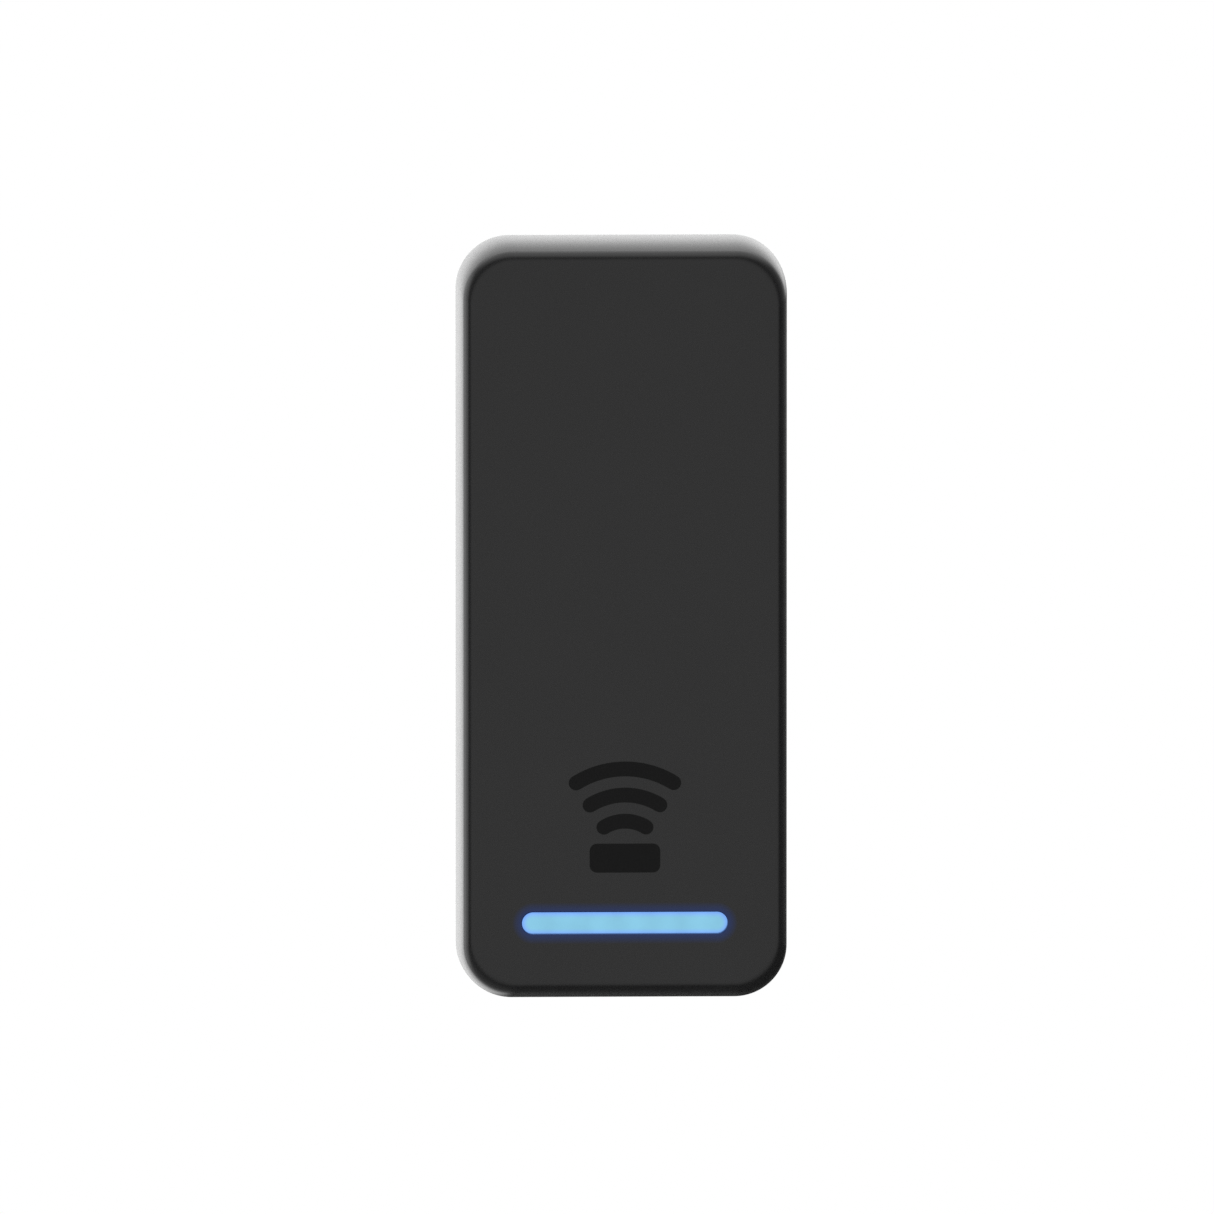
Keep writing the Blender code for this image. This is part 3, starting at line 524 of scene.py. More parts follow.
def textured(name, colour, roughness, fine, cloud, tones, swing, relief, metallic=0.0, share=0.5,
             stretch=None):
    """A surface with a fine noise in its colour, roughness and relief, and a cloudy one in its colour.

    fine and cloud are each a size and a detail, and share is the fine one's part in the colour. tones are
    the darkest and lightest shades of it, swing how far the roughness falls and rises, and relief a depth
    and a strength."""
    material, tree, shader = start_material(name, colour, roughness, metallic)
    point = object_point(tree)
    grain = noise(tree, product(tree, point, stretch) if stretch else point, *fine)
    clouds = maths(tree, "MULTIPLY", noise(tree, point, *cloud), 1 - share)
    tone = spread(tree, maths(tree, "ADD", maths(tree, "MULTIPLY", grain, share), clouds), 0, 1)
    low, high = (tuple(min(level * k, 1.0) for level in colour) for k in tones)
    rough = spread(tree, grain, roughness - swing[0], roughness + swing[1])
    drive(tree, shader, Base_Color=shades(tree, tone, low, high), Roughness=rough)
    bump(tree, shader, grain, *relief)
    return material


def moulded_plastic(name, colour, roughness, grain=0.22):
    """Moulded plastic with a fine spark-eroded grain."""
    return textured(name, colour, roughness, (grain, 3.0), (14, 4.0), (0.92, 1.08), (0.05, 0.06), (0.01, 0.3))


def brushed_metal(name, colour, roughness, stretch=(1, 1, 1), depth=0.004):
    """Metal with fine lines: stretch squeezes the pattern along one axis, and so draws it out as brushing."""
    patterns = ((0.12, 4.0), (7, 4.0), (0.82, 1.1), (0.07, 0.1), (depth, 0.4))
    return textured(name, colour, roughness, *patterns, metallic=1.0, share=0.6, stretch=stretch)


def grained(name, colour, roughness, size, depth, contrast=0.15):
    """A matt surface with an even grain: rubber, moulded epoxy, fired ceramic, tape."""
    tones = (1 - contrast, 1 + contrast)
    return textured(name, colour, roughness, (size, 4.0), (size * 14, 3.0), tones, (0.06, 0.08), (depth, 0.5))


def casing_material():
    """The cover's plastic, lit blue close round the light bar."""
    material = moulded_plastic("casing_plastic_grained", (0.0125, 0.0125, 0.013), 0.24)
    tree = material.node_tree
    shader = tree.nodes["Principled BSDF"]
    point = object_point(tree)
    near = remap(tree, slot_distance(tree, point), 0.0, 1.75 * MM, 1.0, 0.0)
    on_face = maths(tree, "LESS_THAN", axes(tree, point)["Y"], (FACE_Y + 1.0) * MM)
    glow = maths(tree, "MULTIPLY", near, on_face)
    plain = shader.inputs["Base Color"].links[0].from_socket
    colour = shades(tree, glow, plain, (0.001, 0.011, 0.013))
    drive(tree, shader, Base_Color=colour, Emission_Color=scaled(tree, (0.002, 0.011, 0.085), glow))
    shader.inputs["Emission Strength"].default_value = 1.0
    return material


def lens_material():
    """The lit diffuser: pale blue along its middle, deeper blue at its rim."""
    material, tree, shader = start_material("lit_lens_glow", (0.02, 0.05, 0.08), 0.35)
    point = object_point(tree)
    rim = step_up(tree, slot_distance(tree, point), -1.1 * MM, -0.1 * MM)
    waves = maths(tree, "SINE", maths(tree, "MULTIPLY", axes(tree, point)["X"], math.tau / (6.0 * MM)))
    brighter = maths(tree, "MULTIPLY_ADD", waves, 0.03, 1.0)
    cloud = spread(tree, noise(tree, point, 3), 0.97, 1.03)
    colour = shades(tree, rim, srgb(129, 193, 220), srgb(126, 174, 244))
    drive(tree, shader, Emission_Color=scaled(tree, colour, maths(tree, "MULTIPLY", brighter, cloud)))
    shader.inputs["Emission Strength"].default_value = 1.0
    return material


def ink_material():
    material, tree, shader = start_material("printed_ink", (0.004, 0.004, 0.0042), 0.5, specular=0.22)
    grain = noise(tree, object_point(tree), 0.12, detail=3.0)
    colour = shades(tree, grain, (0.0035, 0.0035, 0.0037), (0.006, 0.006, 0.0062))
    drive(tree, shader, Base_Color=colour, Roughness=spread(tree, grain, 0.44, 0.56))
    bump(tree, shader, grain, 0.004, 0.3)
    return material


def board_material():
    """Green solder mask over fine copper tracks that turn from patch to patch, with tinned vias."""
    material, tree, shader = start_material("solder_mask_tracks", (0.008, 0.085, 0.03), 0.3)
    flat = product(tree, object_point(tree), (1.0, 0.0, 1.0))
    inputs = {"Vector": flat, "Scale": 1 / (6 * MM)}
    patch = add_node(tree, "ShaderNodeTexVoronoi", inputs, distance="CHEBYCHEV").outputs["Position"]
    turned = maths(tree, "GREATER_THAN", noise(tree, patch, 5), 0.5)
    parts = axes(tree, flat)
    across, down = (stripes(tree, parts[axis], 0.6, 0.42) for axis in ("X", "Z"))
    kept = maths(tree, "SUBTRACT", 1.0, turned)
    lines = maths(tree, "ADD", maths(tree, "MULTIPLY", across, turned), maths(tree, "MULTIPLY", down, kept))
    poured = maths(tree, "GREATER_THAN", noise(tree, flat, 9, detail=1.0), 0.56)
    copper = maths(tree, "MAXIMUM", lines, poured)
    mask = shades(tree, copper, (0.004, 0.05, 0.018), (0.012, 0.12, 0.042))
    inputs = {"Vector": flat, "Scale": 1 / (2.6 * MM)}
    via = maths(tree, "LESS_THAN", add_node(tree, "ShaderNodeTexVoronoi", inputs).outputs["Distance"], 0.11)
    drive(tree, shader, Base_Color=shades(tree, via, mask, (0.55, 0.54, 0.5)), Metallic=via)
    bump(tree, shader, maths(tree, "ADD", copper, via), 0.03, 0.5)
    return material


def glowing(name, colour, light, size):
    """A small lit surface whose light varies a little over it."""
    material, tree, shader = start_material(name, colour, 0.4)
    cloud = noise(tree, object_point(tree), size, detail=3.0)
    low, high = (tuple(level * k for level in light) for k in (0.85, 1.1))
    rough = spread(tree, cloud, 0.3, 0.5)
    drive(tree, shader, Emission_Color=shades(tree, cloud, low, high), Roughness=rough)
    shader.inputs["Emission Strength"].default_value = 1.0
    return material


def ferrite_material():
    """Dark sintered sheet, scored into small squares so that it bends."""
    material, tree, shader = start_material("scored_ferrite", (0.03, 0.03, 0.033), 0.6)
    point = object_point(tree)
    parts = axes(tree, point)
    scores = maths(tree, "MAXIMUM", *(stripes(tree, parts[axis], 2, 0.05) for axis in ("X", "Z")))
    grain = noise(tree, point, 0.3, detail=4.0)
    drive(tree, shader, Base_Color=shades(tree, grain, (0.022, 0.022, 0.025), (0.045, 0.045, 0.05)))
    bump(tree, shader, maths(tree, "SUBTRACT", maths(tree, "MULTIPLY", grain, 0.3), scores), 0.04, 0.6)
    return material


def acrylic_material():
    """Clear guide with a frosted skin, which the LEDs light from behind."""
    material, tree, shader = start_material("frosted_acrylic", (0.75, 0.84, 0.88), 0.35)
    shader.inputs["Transmission Weight"].default_value = 0.7
    frost = noise(tree, object_point(tree), 0.2, detail=3.0)
    colour = shades(tree, frost, (0.7, 0.8, 0.86), (0.82, 0.9, 0.94))
    drive(tree, shader, Base_Color=colour, Roughness=spread(tree, frost, 0.3, 0.5))
    bump(tree, shader, frost, 0.01, 0.4)
    return material


def make_looks():
    """Each look's material, and the record's slot named beside it."""
    steel, epoxy, plastic = "stainless_steel", "chip_epoxy", "dark_plastic"
    rubber, board = "silicone_rubber", "circuit_board"
    along_x, along_y, along_z = (0.03, 1.0, 1.0), (1.0, 0.05, 1.0), (1.0, 1.0, 0.03)
    return {
        "cover": (casing_material(), "casing_plastic"),
        "lens": (lens_material(), "lit_lens"),
        "ink": (ink_material(), plastic),
        "housing": (moulded_plastic("housing_plastic_grained", (0.014, 0.014, 0.0145), 0.42, 0.3), plastic),
        "plunger": (moulded_plastic("plunger_plastic", (0.02, 0.02, 0.021), 0.35, 0.2), plastic),
        "button": (moulded_plastic("button_plastic", (0.3, 0.31, 0.32), 0.42, 0.2), "button_grey"),
        "jack": (moulded_plastic("jack_plastic", (0.02, 0.02, 0.021), 0.3, 0.25), epoxy),
        "steel": (brushed_metal("bracket_brushed_steel", (0.5, 0.5, 0.495), 0.34, along_z), steel),
        "sheet_tin": (brushed_metal("can_tinned_steel", (0.62, 0.62, 0.6), 0.3, along_x), steel),
        "zinc": (brushed_metal("turned_steel", (0.58, 0.58, 0.57), 0.28), steel),
        "black_oxide": (brushed_metal("black_oxide_steel", (0.07, 0.07, 0.074), 0.42), "screw_black_oxide"),
        "brass": (brushed_metal("turned_brass", (0.78, 0.57, 0.26), 0.3), "brass"),
        "gold": (brushed_metal("gold_plate", (0.92, 0.68, 0.3), 0.22, depth=0.002), "gold_contact"),
        "tin": (brushed_metal("tinned_lead", (0.66, 0.66, 0.64), 0.3, depth=0.003), steel),
        "copper": (brushed_metal("etched_copper", (0.85, 0.45, 0.28), 0.35, depth=0.006), "copper_track"),
        "aluminium": (brushed_metal("drawn_aluminium", (0.78, 0.78, 0.79), 0.3, along_y), "aluminium_can"),
        "rubber": (grained("silicone_rubber_matt", (0.035, 0.035, 0.037), 0.7, 0.25, 0.01), rubber),
        "epoxy": (grained("moulded_epoxy", (0.02, 0.02, 0.022), 0.5, 0.12, 0.008, 0.2), epoxy),
        "membrane": (grained("porous_film", (0.78, 0.78, 0.76), 0.75, 0.1, 0.02, 0.06), "vent_membrane"),
        "ceramic": (grained("fired_ceramic", (0.72, 0.71, 0.67), 0.4, 0.15, 0.006, 0.08), "ceramic"),
        "dielectric": (grained("fired_dielectric", (0.32, 0.2, 0.11), 0.4, 0.12, 0.004, 0.15), "ceramic"),
        "core": (grained("sintered_core", (0.04, 0.04, 0.044), 0.45, 0.2, 0.015, 0.25), "ferrite"),
        "tape": (grained("winding_tape", (0.72, 0.5, 0.06), 0.35, 0.6, 0.01, 0.1), None),
        "package": (grained("led_package_white", (0.8, 0.8, 0.77), 0.4, 0.1, 0.005, 0.06), "led_package"),
        "phosphor": (glowing("lit_phosphor", (0.3, 0.5, 0.6), (0.25, 0.55, 0.72), 0.4), "led_package"),
        "board": (board_material(), board),
        "plain_board": (grained("solder_mask_plain", (0.007, 0.085, 0.03), 0.32, 0.35, 0.006, 0.12), board),
        "ferrite": (ferrite_material(), "ferrite"),
        "acrylic": (acrylic_material(), "light_guide_acrylic"),
    }


# Front cover


def bulge(depth):
    """How far the walls have flared at a depth behind the face: 0 at the face and 1 at the rim."""
    return math.sqrt(max(0.0, 1 - (1 - depth / (RIM_Y - FACE_Y)) ** 2))


def skin_ring(depth):
    """The cover's outline at a depth behind its face: a rolled edge, then drafted, slightly bulging walls."""
    roll = math.sqrt(1 - (1 - min(depth / EDGE_RADIUS, 1.0)) ** 2)
    half = []
    for face, rim in zip(FACE_HALF, COVER_HALF):
        half.append(face + EDGE_RADIUS * roll + (rim - face - EDGE_RADIUS) * bulge(depth))
    corner = FACE_CORNER + (RIM_CORNER - FACE_CORNER) * bulge(depth)
    return at_y(rounded_rect(half, corner), FACE_Y + depth)


def cover_rings():
    """Every ring of the cover, from its light slot over the face and round the rim to the inside."""
    inner_y = FACE_Y + 1.77
    slot = (0.0, LIGHT_Z)
    rings = [at_y(stadium(SLOT_HALF, slot), inner_y)]
    for growth, drop in quarter_roll(SLOT_ROUND, 3):
        rings.append(at_y(stadium(shrink(SLOT_HALF, -growth), slot), FACE_Y + drop))
    flat_half = shrink(SLOT_HALF, -SLOT_ROUND - FLAT_BAND)
    rings.append(at_y(rounded_rect(flat_half, SLOT_HALF[1] + SLOT_ROUND, slot), FACE_Y))
    rings.append(at_y(rounded_rect(shrink(FACE_HALF, FLAT_BAND), FACE_CORNER - FLAT_BAND), FACE_Y))
    reach = RIM_Y - FACE_Y
    depths = [EDGE_RADIUS * (1 - math.cos(math.radians(angle))) for angle in range(0, 90, 10)]
    depths += [reach * (1 - math.cos(math.radians(angle))) for angle in range(18, 87, 4)]
    rings += [skin_ring(depth) for depth in depths + [reach - 0.25]]
    for inset, back in ((0.08, 0.07), (0.25, 0.0), (1.75, 0.0), (1.92, 0.07)):
        rings.append(at_y(rounded_rect(shrink(COVER_HALF, inset), RIM_CORNER - inset * 0.9), RIM_Y - back))
    seat = (COVER_HALF[0] - 2.0, COVER_HALF[1] - 2.5)
    rings += [at_y(rounded_rect(seat, 7.6), y) for y in (RIM_Y - 0.25, LEDGE_Y)]
    cavity = shrink(seat, 1.4)
    rings.append(at_y(rounded_rect(cavity, 6.4), LEDGE_Y))
    for inset, back in ((0.2, 1.0), (0.5, 0.3), (1.2, 0.0)):
        rings.append(at_y(rounded_rect(shrink(cavity, inset), 6.0), inner_y + back))
    return rings


def make_cover():
    shell = loft(bmesh.new(), cover_rings(), hollow=True)
    cover = make_piece("cover_shell", shell, "cover", ["front_cover"])
    posts, pilots, notch = new_shapes(3)
    front, back = FACE_Y + 1.3, LEDGE_Y - 0.3
    for centre in COVER_SCREWS:
        add_turned(posts, centre, [(BOSS_RADIUS * 1.1, front), (BOSS_RADIUS, back)])
        add_cylinder(pilots, centre, PILOT_RADIUS, (-15.0, back + PAST))
    foot_z = (COVER_Z[0] - PAST, COVER_Z[0] + 3.5)
    add_box(notch, span(0.0, NOTCH_HALF), (NOTCH_FRONT, RIM_Y + PAST), foot_z)
    combine(cover, "UNION", posts)
    combine(cover, "DIFFERENCE", pilots, notch)


def make_lens():
    """A stadium-shaped diffuser with a rounded front, on a flange behind the face."""
    half, centre = shrink(SLOT_HALF, LENS_PLAY), (0.0, LIGHT_Z)
    flange = rounded_rect((19.6, 3.3), 1.5, centre)
    step_y = LENS_BACK - 1.0
    rings = [at_y(flange, LENS_BACK), at_y(flange, step_y), at_y(stadium(half, centre), step_y)]
    for inset, drop in quarter_roll(0.35, 5):
        rings.append(at_y(stadium(shrink(half, inset), centre), FACE_Y + 0.1 + drop))
    make_piece("status_lens", loft(bmesh.new(), rings), "lens", ["light_lens"])


def wave_outline(centre, radius, width, half_angle):
    """A ribbon bent round an arc that opens upwards, with round ends."""
    right, left = 90 - half_angle, 90 + half_angle
    outline = arc(centre, radius + width / 2, left, right, 24)
    outline += arc(arc(centre, radius, right, right, 1)[0], width / 2, right, right - 180, 8)[1:-1]
    outline += arc(centre, radius - width / 2, right, left, 24)
    return outline + arc(arc(centre, radius, left, left, 1)[0], width / 2, left + 180, left, 8)[1:-1]


def make_sign():
    """The printed sign: radio waves over a card."""
    thick = span(FACE_Y, INK_HEIGHT)
    card = rounded_rect((6.2, 2.55), 1.3, (0.0, -41.4))
    make_piece("printed_card", add_prism(bmesh.new(), card, thick), "ink")
    for number, radius in enumerate((7.0, 11.6, 16.2), start=1):
        wave = wave_outline((0.0, -41.9), radius, 2.6, 32)
        make_piece(f"printed_wave_{number}", add_prism(bmesh.new(), wave, thick), "ink")


# Back of the reader


def wall_screw_recess(side, margin):
    """Room for a wall screw's head; side is 1 for the upper slot and -1 for the lower."""
    half = (7.2 + margin, LIFT / 2 + 4.7 + margin)
    return rounded_rect(half, 4.5, (0.0, side * WALL_SLOT_Z - LIFT / 2), steps=10)


def hook_pocket(root):
    """Side view of the opening that a hook enters, and of the undercut that it catches in."""
    lip, bottom = -2.7, -4.8
    low, mouth, top = root - LIFT - 1.5, root + 0.3, root + HOOK_HEIGHT + 0.6
    return [(PAST, low), (PAST, mouth), (lip, mouth), (lip, top), (bottom, top), (bottom, low)]


def housing_body():
    """The housing's outside, its back edge rolled over."""
    rings = [at_y(rounded_rect(HOUSING_HALF, HOUSING_CORNER), -8.0)]
    for inset, drop in quarter_roll(0.5, 6):
        outline = rounded_rect(shrink(HOUSING_HALF, inset), HOUSING_CORNER - inset)
        rings.append(at_y(outline, HOUSING_BACK - drop))
    return loft(bmesh.new(), rings)


def housing_joined():
    """What stands on the inside of the housing's floor."""
    root = FLOOR_FRONT + 0.4
    pillars, blocks, bay, walls, ribs = new_shapes(5)
    for centre in COVER_SCREWS:
        add_turned(pillars, centre, [(1.95, LEDGE_Y), (1.95, -8.0), (3.0, -8.0), (3.15, root)])
    for centre in BOARD_SCREWS:
        add_turned(pillars, centre, [(2.1, -10.1), (2.35, root)])
    for x, z in HOOKS:
        add_box(blocks, span(x, 5.1), (-6.0, root), (z - LIFT - 2.6, z + HOOK_HEIGHT + 1.7))
    add_box(blocks, span(0.0, 8.6), (-8.0, root), (-62.4, -55.3))
    add_box(bay, span(0.0, 9.4), (-15.4, root), grow(BAY_Z, 1.0))
    for side in (-1, 1):
        add_prism(walls, wall_screw_recess(side, 1.0), (-5.6, root))
    for z in RIB_Z:
        for side in (-1, 1):
            add_box(ribs, span(side * 21.4, 2.8), (-4.6, root), span(z, 0.5))
    return pillars, blocks, bay, walls, ribs


def housing_cuts():
    """What is cut out of the housing, from its back, from below and for the screws."""
    pocket, notch, openings, recesses, bores = new_shapes(5)
    hollow = rounded_rect((20.3, half_size(POCKET_Z)), 4.5, (0.0, middle(POCKET_Z)), steps=10)
    add_prism(pocket, hollow, (FLOOR_BACK, PAST))
    add_box(notch, span(0.0, NOTCH_HALF), (NOTCH_FRONT, PAST), (-66.0, -62.6))
    add_box(openings, span(0.0, NOTCH_HALF), (FLOOR_BACK, PAST), (-63.6, -59.0))
    add_box(openings, span(0.0, 8.4), (-14.4, PAST), BAY_Z)
    for x, z in HOOKS:
        add_profile(openings, hook_pocket(z), span(x, HOOK_HALF_WIDTH + 0.6))
    for side in (-1, 1):
        add_prism(recesses, wall_screw_recess(side, 0.0), (-4.4, PAST))
    add_box(recesses, span(0.0, 6.6), (-14.4, -4.2), (BAY_Z[1] - PAST, BAY_Z[1] + 2.0))
    for centre in COVER_SCREWS:
        add_turned(bores, centre, [(1.3, -10.4), (1.3, -2.8), (2.4, -2.8), (2.4, PAST)])
    for centre in BOARD_SCREWS:
        add_cylinder(bores, centre, 1.05, (-11.0, -4.4))
    for centre, radius in ((BUTTON_AT, 1.9), (TAMPER_AT, 1.45), (VENT_AT, 1.2)):
        add_cylinder(bores, centre, radius, (FLOOR_FRONT - PAST, PAST))
    add_cylinder(bores, SCREW_AT, 1.85, grow(ranges("screw_insert")[2], PAST), axis="Z")
    return pocket, notch, openings, recesses, bores


def make_housing():
    housing = make_piece("rear_shell", housing_body(), "housing", ["rear_housing"])
    hollow = add_prism(bmesh.new(), rounded_rect((24.0, 61.4), 5.0, steps=12), (-9.0, FLOOR_FRONT))
    combine(housing, "DIFFERENCE", hollow)
    combine(housing, "UNION", *housing_joined())
    combine(housing, "DIFFERENCE", *housing_cuts())
    clean_faces(housing, HOUSING_LEVELS)
    soften(housing, 0.14)


def make_seals():
    """The casing's seal with a lip on each side, the jack's foam ring and the vent's film."""
    x_range, y_range, z_range = ranges("perimeter_gasket")
    outer = (half_size(x_range), half_size(z_range))
    rings = []
    for step in range(20):
        angle = math.tau * step / 20
        inset = 0.5 * (1 - math.cos(angle))
        lip = 0.82 + 0.18 * math.cos(2 * angle - math.pi) ** 2
        y = middle(y_range) + half_size(y_range) * lip * math.sin(angle)
        rings.append(at_y(rounded_rect(shrink(outer, inset), 7.3 - inset), y))
    make_piece("casing_seal", loft(bmesh.new(), rings, hollow=True), "rubber", ["perimeter_gasket"])

    x_range, y_range, z_range = ranges("jack_seal")
    half, centre = (half_size(x_range), half_size(y_range)), (0.0, middle(y_range))
    rings = []
    for inset, z in clipped_section(0.0, 0.9, z_range, 0.15):
        rings.append([(x, y, z) for x, y in rounded_rect(shrink(half, inset), 1.0, centre, steps=6)])
    make_piece("jack_foam_seal", loft(bmesh.new(), rings, hollow=True), "rubber", ["jack_seal"])

    low, high = ranges("vent_membrane")[1]
    profile = [(2.2, low + 0.1), (2.5, low), (3.9, low), (4.0, low + 0.08), (4.0, high)]
    make_piece("vent_film", add_turned(bmesh.new(), VENT_AT, profile), "membrane", ["vent_membrane"])


# Screws


def thread_at(along, axis, core, depth, pitch, sharpness):
    """The radius of a right-hand thread at a place along its axis, as a function of the angle."""
    sign = -1 if axis == "Y" else 1

    def radius(angle):
        phase = (sign * along / pitch - angle / math.tau) % 1.0
        return core + depth * max(0.0, 1 - sharpness * abs(2 * phase - 1))

    return radius


def lobed(size):
    """The radius of a six-lobed recess, as a function of the angle."""
    return lambda angle: size * (1 + 0.13 * math.cos(6 * angle))


def make_screw(centre, axis, places, radii, recess, pitch, sharpness=2.4):
    """A screw's shape, from the bottom of its recess over the head and down the thread to its tip."""
    outer, inner, tip = places
    head, shank, core = radii
    way = 1 if tip > outer else -1
    height, length = abs(inner - outer), abs(tip - outer)
    depth, crown = height * 0.62, 0.3 * height
    profile = [(lobed(recess * 0.9), depth), (lobed(recess), depth * 0.9)]
    profile += [(lobed(recess), crown * 0.1 + 0.05), (lobed(recess * 1.07), crown * 0.1)]
    profile += [(head * 0.8, crown * 0.35), (head * 0.93, crown * 0.75), (head * 0.99, crown + 0.12 * height)]
    profile += [(head, height * 0.55), (head, height - 0.08), (head - 0.08, height)]
    profile += [(shank, height), (core, height + pitch * 0.5)]
    start, end = height + pitch * 0.6, length - pitch * 0.9
    count = int((end - start) / pitch * 6)
    for step in range(count + 1):
        d = start + (end - start) * step / count
        fade = min(1.0, (step + 1) / 6, (count + 1 - step) / 6)
        profile.append((thread_at(outer + way * d, axis, core, (shank - core) * fade, pitch, sharpness), d))
    profile += [(core * 0.9, length - 0.3 * pitch), (core * 0.55, length)]
    turned = [(radius, outer + way * d) for radius, d in profile]
    return add_turned(bmesh.new(), centre, turned, axis, SCREW_STEPS)


def make_screws():
    for number, centre in enumerate(COVER_SCREWS, start=1):
        low, high = ranges(f"housing_screw_{number}")[1]
        shape = make_screw(centre, "Y", (high, high - 1.4, low), (2.0, 1.0, 0.72), 0.9, 0.9)
        make_piece(f"casing_screw_{number}", shape, "black_oxide", [f"housing_screw_{number}"])
    for number, centre in enumerate(BOARD_SCREWS, start=1):
        low, high = ranges(f"board_screw_{number}")[1]
        shape = make_screw(centre, "Y", (low, low + 1.3, high), (1.9, 0.9, 0.65), 0.8, 0.8)
        make_piece(f"pan_screw_{number}", shape, "zinc", [f"board_screw_{number}"])


def make_lock():
    """The pinned security screw, its washer, and the knurled insert it drives into."""
    low, high = ranges("security_screw")[2]
    shape = make_screw(SCREW_AT, "Z", (low, low + 1.7, high), (2.2, 1.2, 1.0), 1.0, 0.45, 1.0)
    add_turned(shape, SCREW_AT, [(0.32, low + 0.25), (0.38, low + 0.33), (0.38, low + 1.2)], "Z", 24)
    make_piece("pinned_screw", shape, "black_oxide", ["security_screw"], "locking_screw")

    section = clipped_section(2.4, 1.4, ranges("screw_washer")[2], 0.06)
    shape = add_turned(bmesh.new(), SCREW_AT, section, "Z", hollow=True)
    make_piece("lock_washer", shape, "zinc", ["screw_washer"], "washer")

    def grip(angle):
        return 1.7 - 0.09 * (0.5 + 0.5 * math.cos(24 * angle))

    low, high = ranges("screw_insert")[2]
    neck, bore = 1.5, 1.3
    profile = [(neck, low), (grip, low + 0.12), (grip, low + 1.8), (neck, low + 2.0), (neck, low + 2.9)]
    profile += [(grip, low + 3.1), (grip, low + 4.8), (neck, low + 5.0)]
    profile += [(bore, high), (bore, high - 0.1), (bore, low + 0.1), (bore, low)]
    shape = add_turned(bmesh.new(), SCREW_AT, profile, "Z", 96, hollow=True)
    make_piece("knurled_insert", shape, "brass", ["screw_insert"])


# Wall bracket


def hook_path(root):
    """Middle line (y, z) of a hook, lanced out of the sheet and bent twice."""
    sheet_y, finger_y, web_z = -SHEET / 2, -SHEET * 1.5 - HOOK_GAP, root - SHEET / 2
    return [(sheet_y, root - 3.4), (sheet_y, web_z), (finger_y, web_z), (finger_y, root + HOOK_HEIGHT)]


def make_bracket():
    """The sheet with its windows and slots, the hooks lanced and bent out of it, and its foot."""
    plate_z, window_z, through = (-52.0, 54.0), (-35.5, -9.0), (-SHEET - PAST, PAST)
    plate, windows, lances, bent, hole = new_shapes(5)
    outline = rounded_rect((19.5, half_size(plate_z)), 4.0, (0.0, middle(plate_z)), steps=10)
    add_prism(plate, outline, (-SHEET, 0.0))
    outline = rounded_rect((8.0, half_size(window_z)), 2.0, (0.0, middle(window_z)), steps=8)
    add_prism(windows, outline, through)
    for side in (-1, 1):
        add_prism(windows, stadium((5.0, 2.3), (0.0, side * WALL_SLOT_Z)), through)
    relief = (HOOK_HALF_WIDTH + 0.8, (HOOK_HEIGHT + 2.0) / 2)
    for x, z in HOOKS:
        add_prism(windows, rounded_rect(relief, 0.7, (x, z + relief[1]), steps=5), through)
        add_box(lances, span(x, HOOK_HALF_WIDTH + 0.3), through, (z - 2.3, z + 1.5))
        add_profile(bent, strip_outline(hook_path(z), SHEET, SHEET_BEND), span(x, HOOK_HALF_WIDTH))
    add_cylinder(windows, BUTTON_AT, 2.6, through, segments=48)
    add_prism(windows, stadium((2.0, 2.0 + LIFT / 2), (TAMPER_AT[0], TAMPER_AT[1] + LIFT / 2)), through)
    foot = [(-SHEET / 2, -50.0), (-SHEET / 2, -63.7), (-6.2, -63.7)]
    add_profile(bent, strip_outline(foot, SHEET, SHEET_BEND), span(0.0, 6.0))
    add_cylinder(hole, SCREW_AT, 1.4, (-65.0, -62.0), axis="Z", segments=40)
    bracket = make_piece("steel_bracket", plate, "steel", ["wall_bracket"], BRACKET)
    combine(bracket, "DIFFERENCE", windows, lances)
    combine(bracket, "UNION", bent)
    combine(bracket, "DIFFERENCE", hole)
    clean_faces(bracket, BRACKET_LEVELS)
    soften(bracket, 0.12)


# Reset button, tamper plunger and their switches


def make_plungers():
    profile = [(0.7, -8.0), (1.05, -7.9), (1.1, -7.6), (1.1, -4.6), (2.4, -4.6), (2.5, -4.5), (2.5, -3.9)]
    profile += [(2.4, -3.8), (1.6, -3.8), (1.6, -2.2), (1.5, -2.0), (1.3, -1.9), (0.9, -1.93), (0.4, -2.05)]
    shape = add_turned(bmesh.new(), BUTTON_AT, profile)
    make_piece("reset_cap", shape, "button", ["reset_button"], "reset_key")
    profile = [(0.4, -8.2), (0.62, -8.12), (0.7, -7.9), (0.7, -5.8), (2.1, -5.8), (2.2, -5.7), (2.2, -5.2)]
    profile += [(2.1, -5.1), (1.2, -5.1), (1.2, -0.9), (1.1, -0.5), (0.85, -0.25), (0.5, -0.15)]
    shape = add_turned(bmesh.new(), TAMPER_AT, profile)
    make_piece("tamper_pin_turned", shape, "plunger", ["tamper_plunger"], "tamper_pin")
    make_spring()
    make_switch("reset_switch", "tactile_switch", BUTTON_AT)
    make_switch("tamper_switch", "plunger_switch", TAMPER_AT)


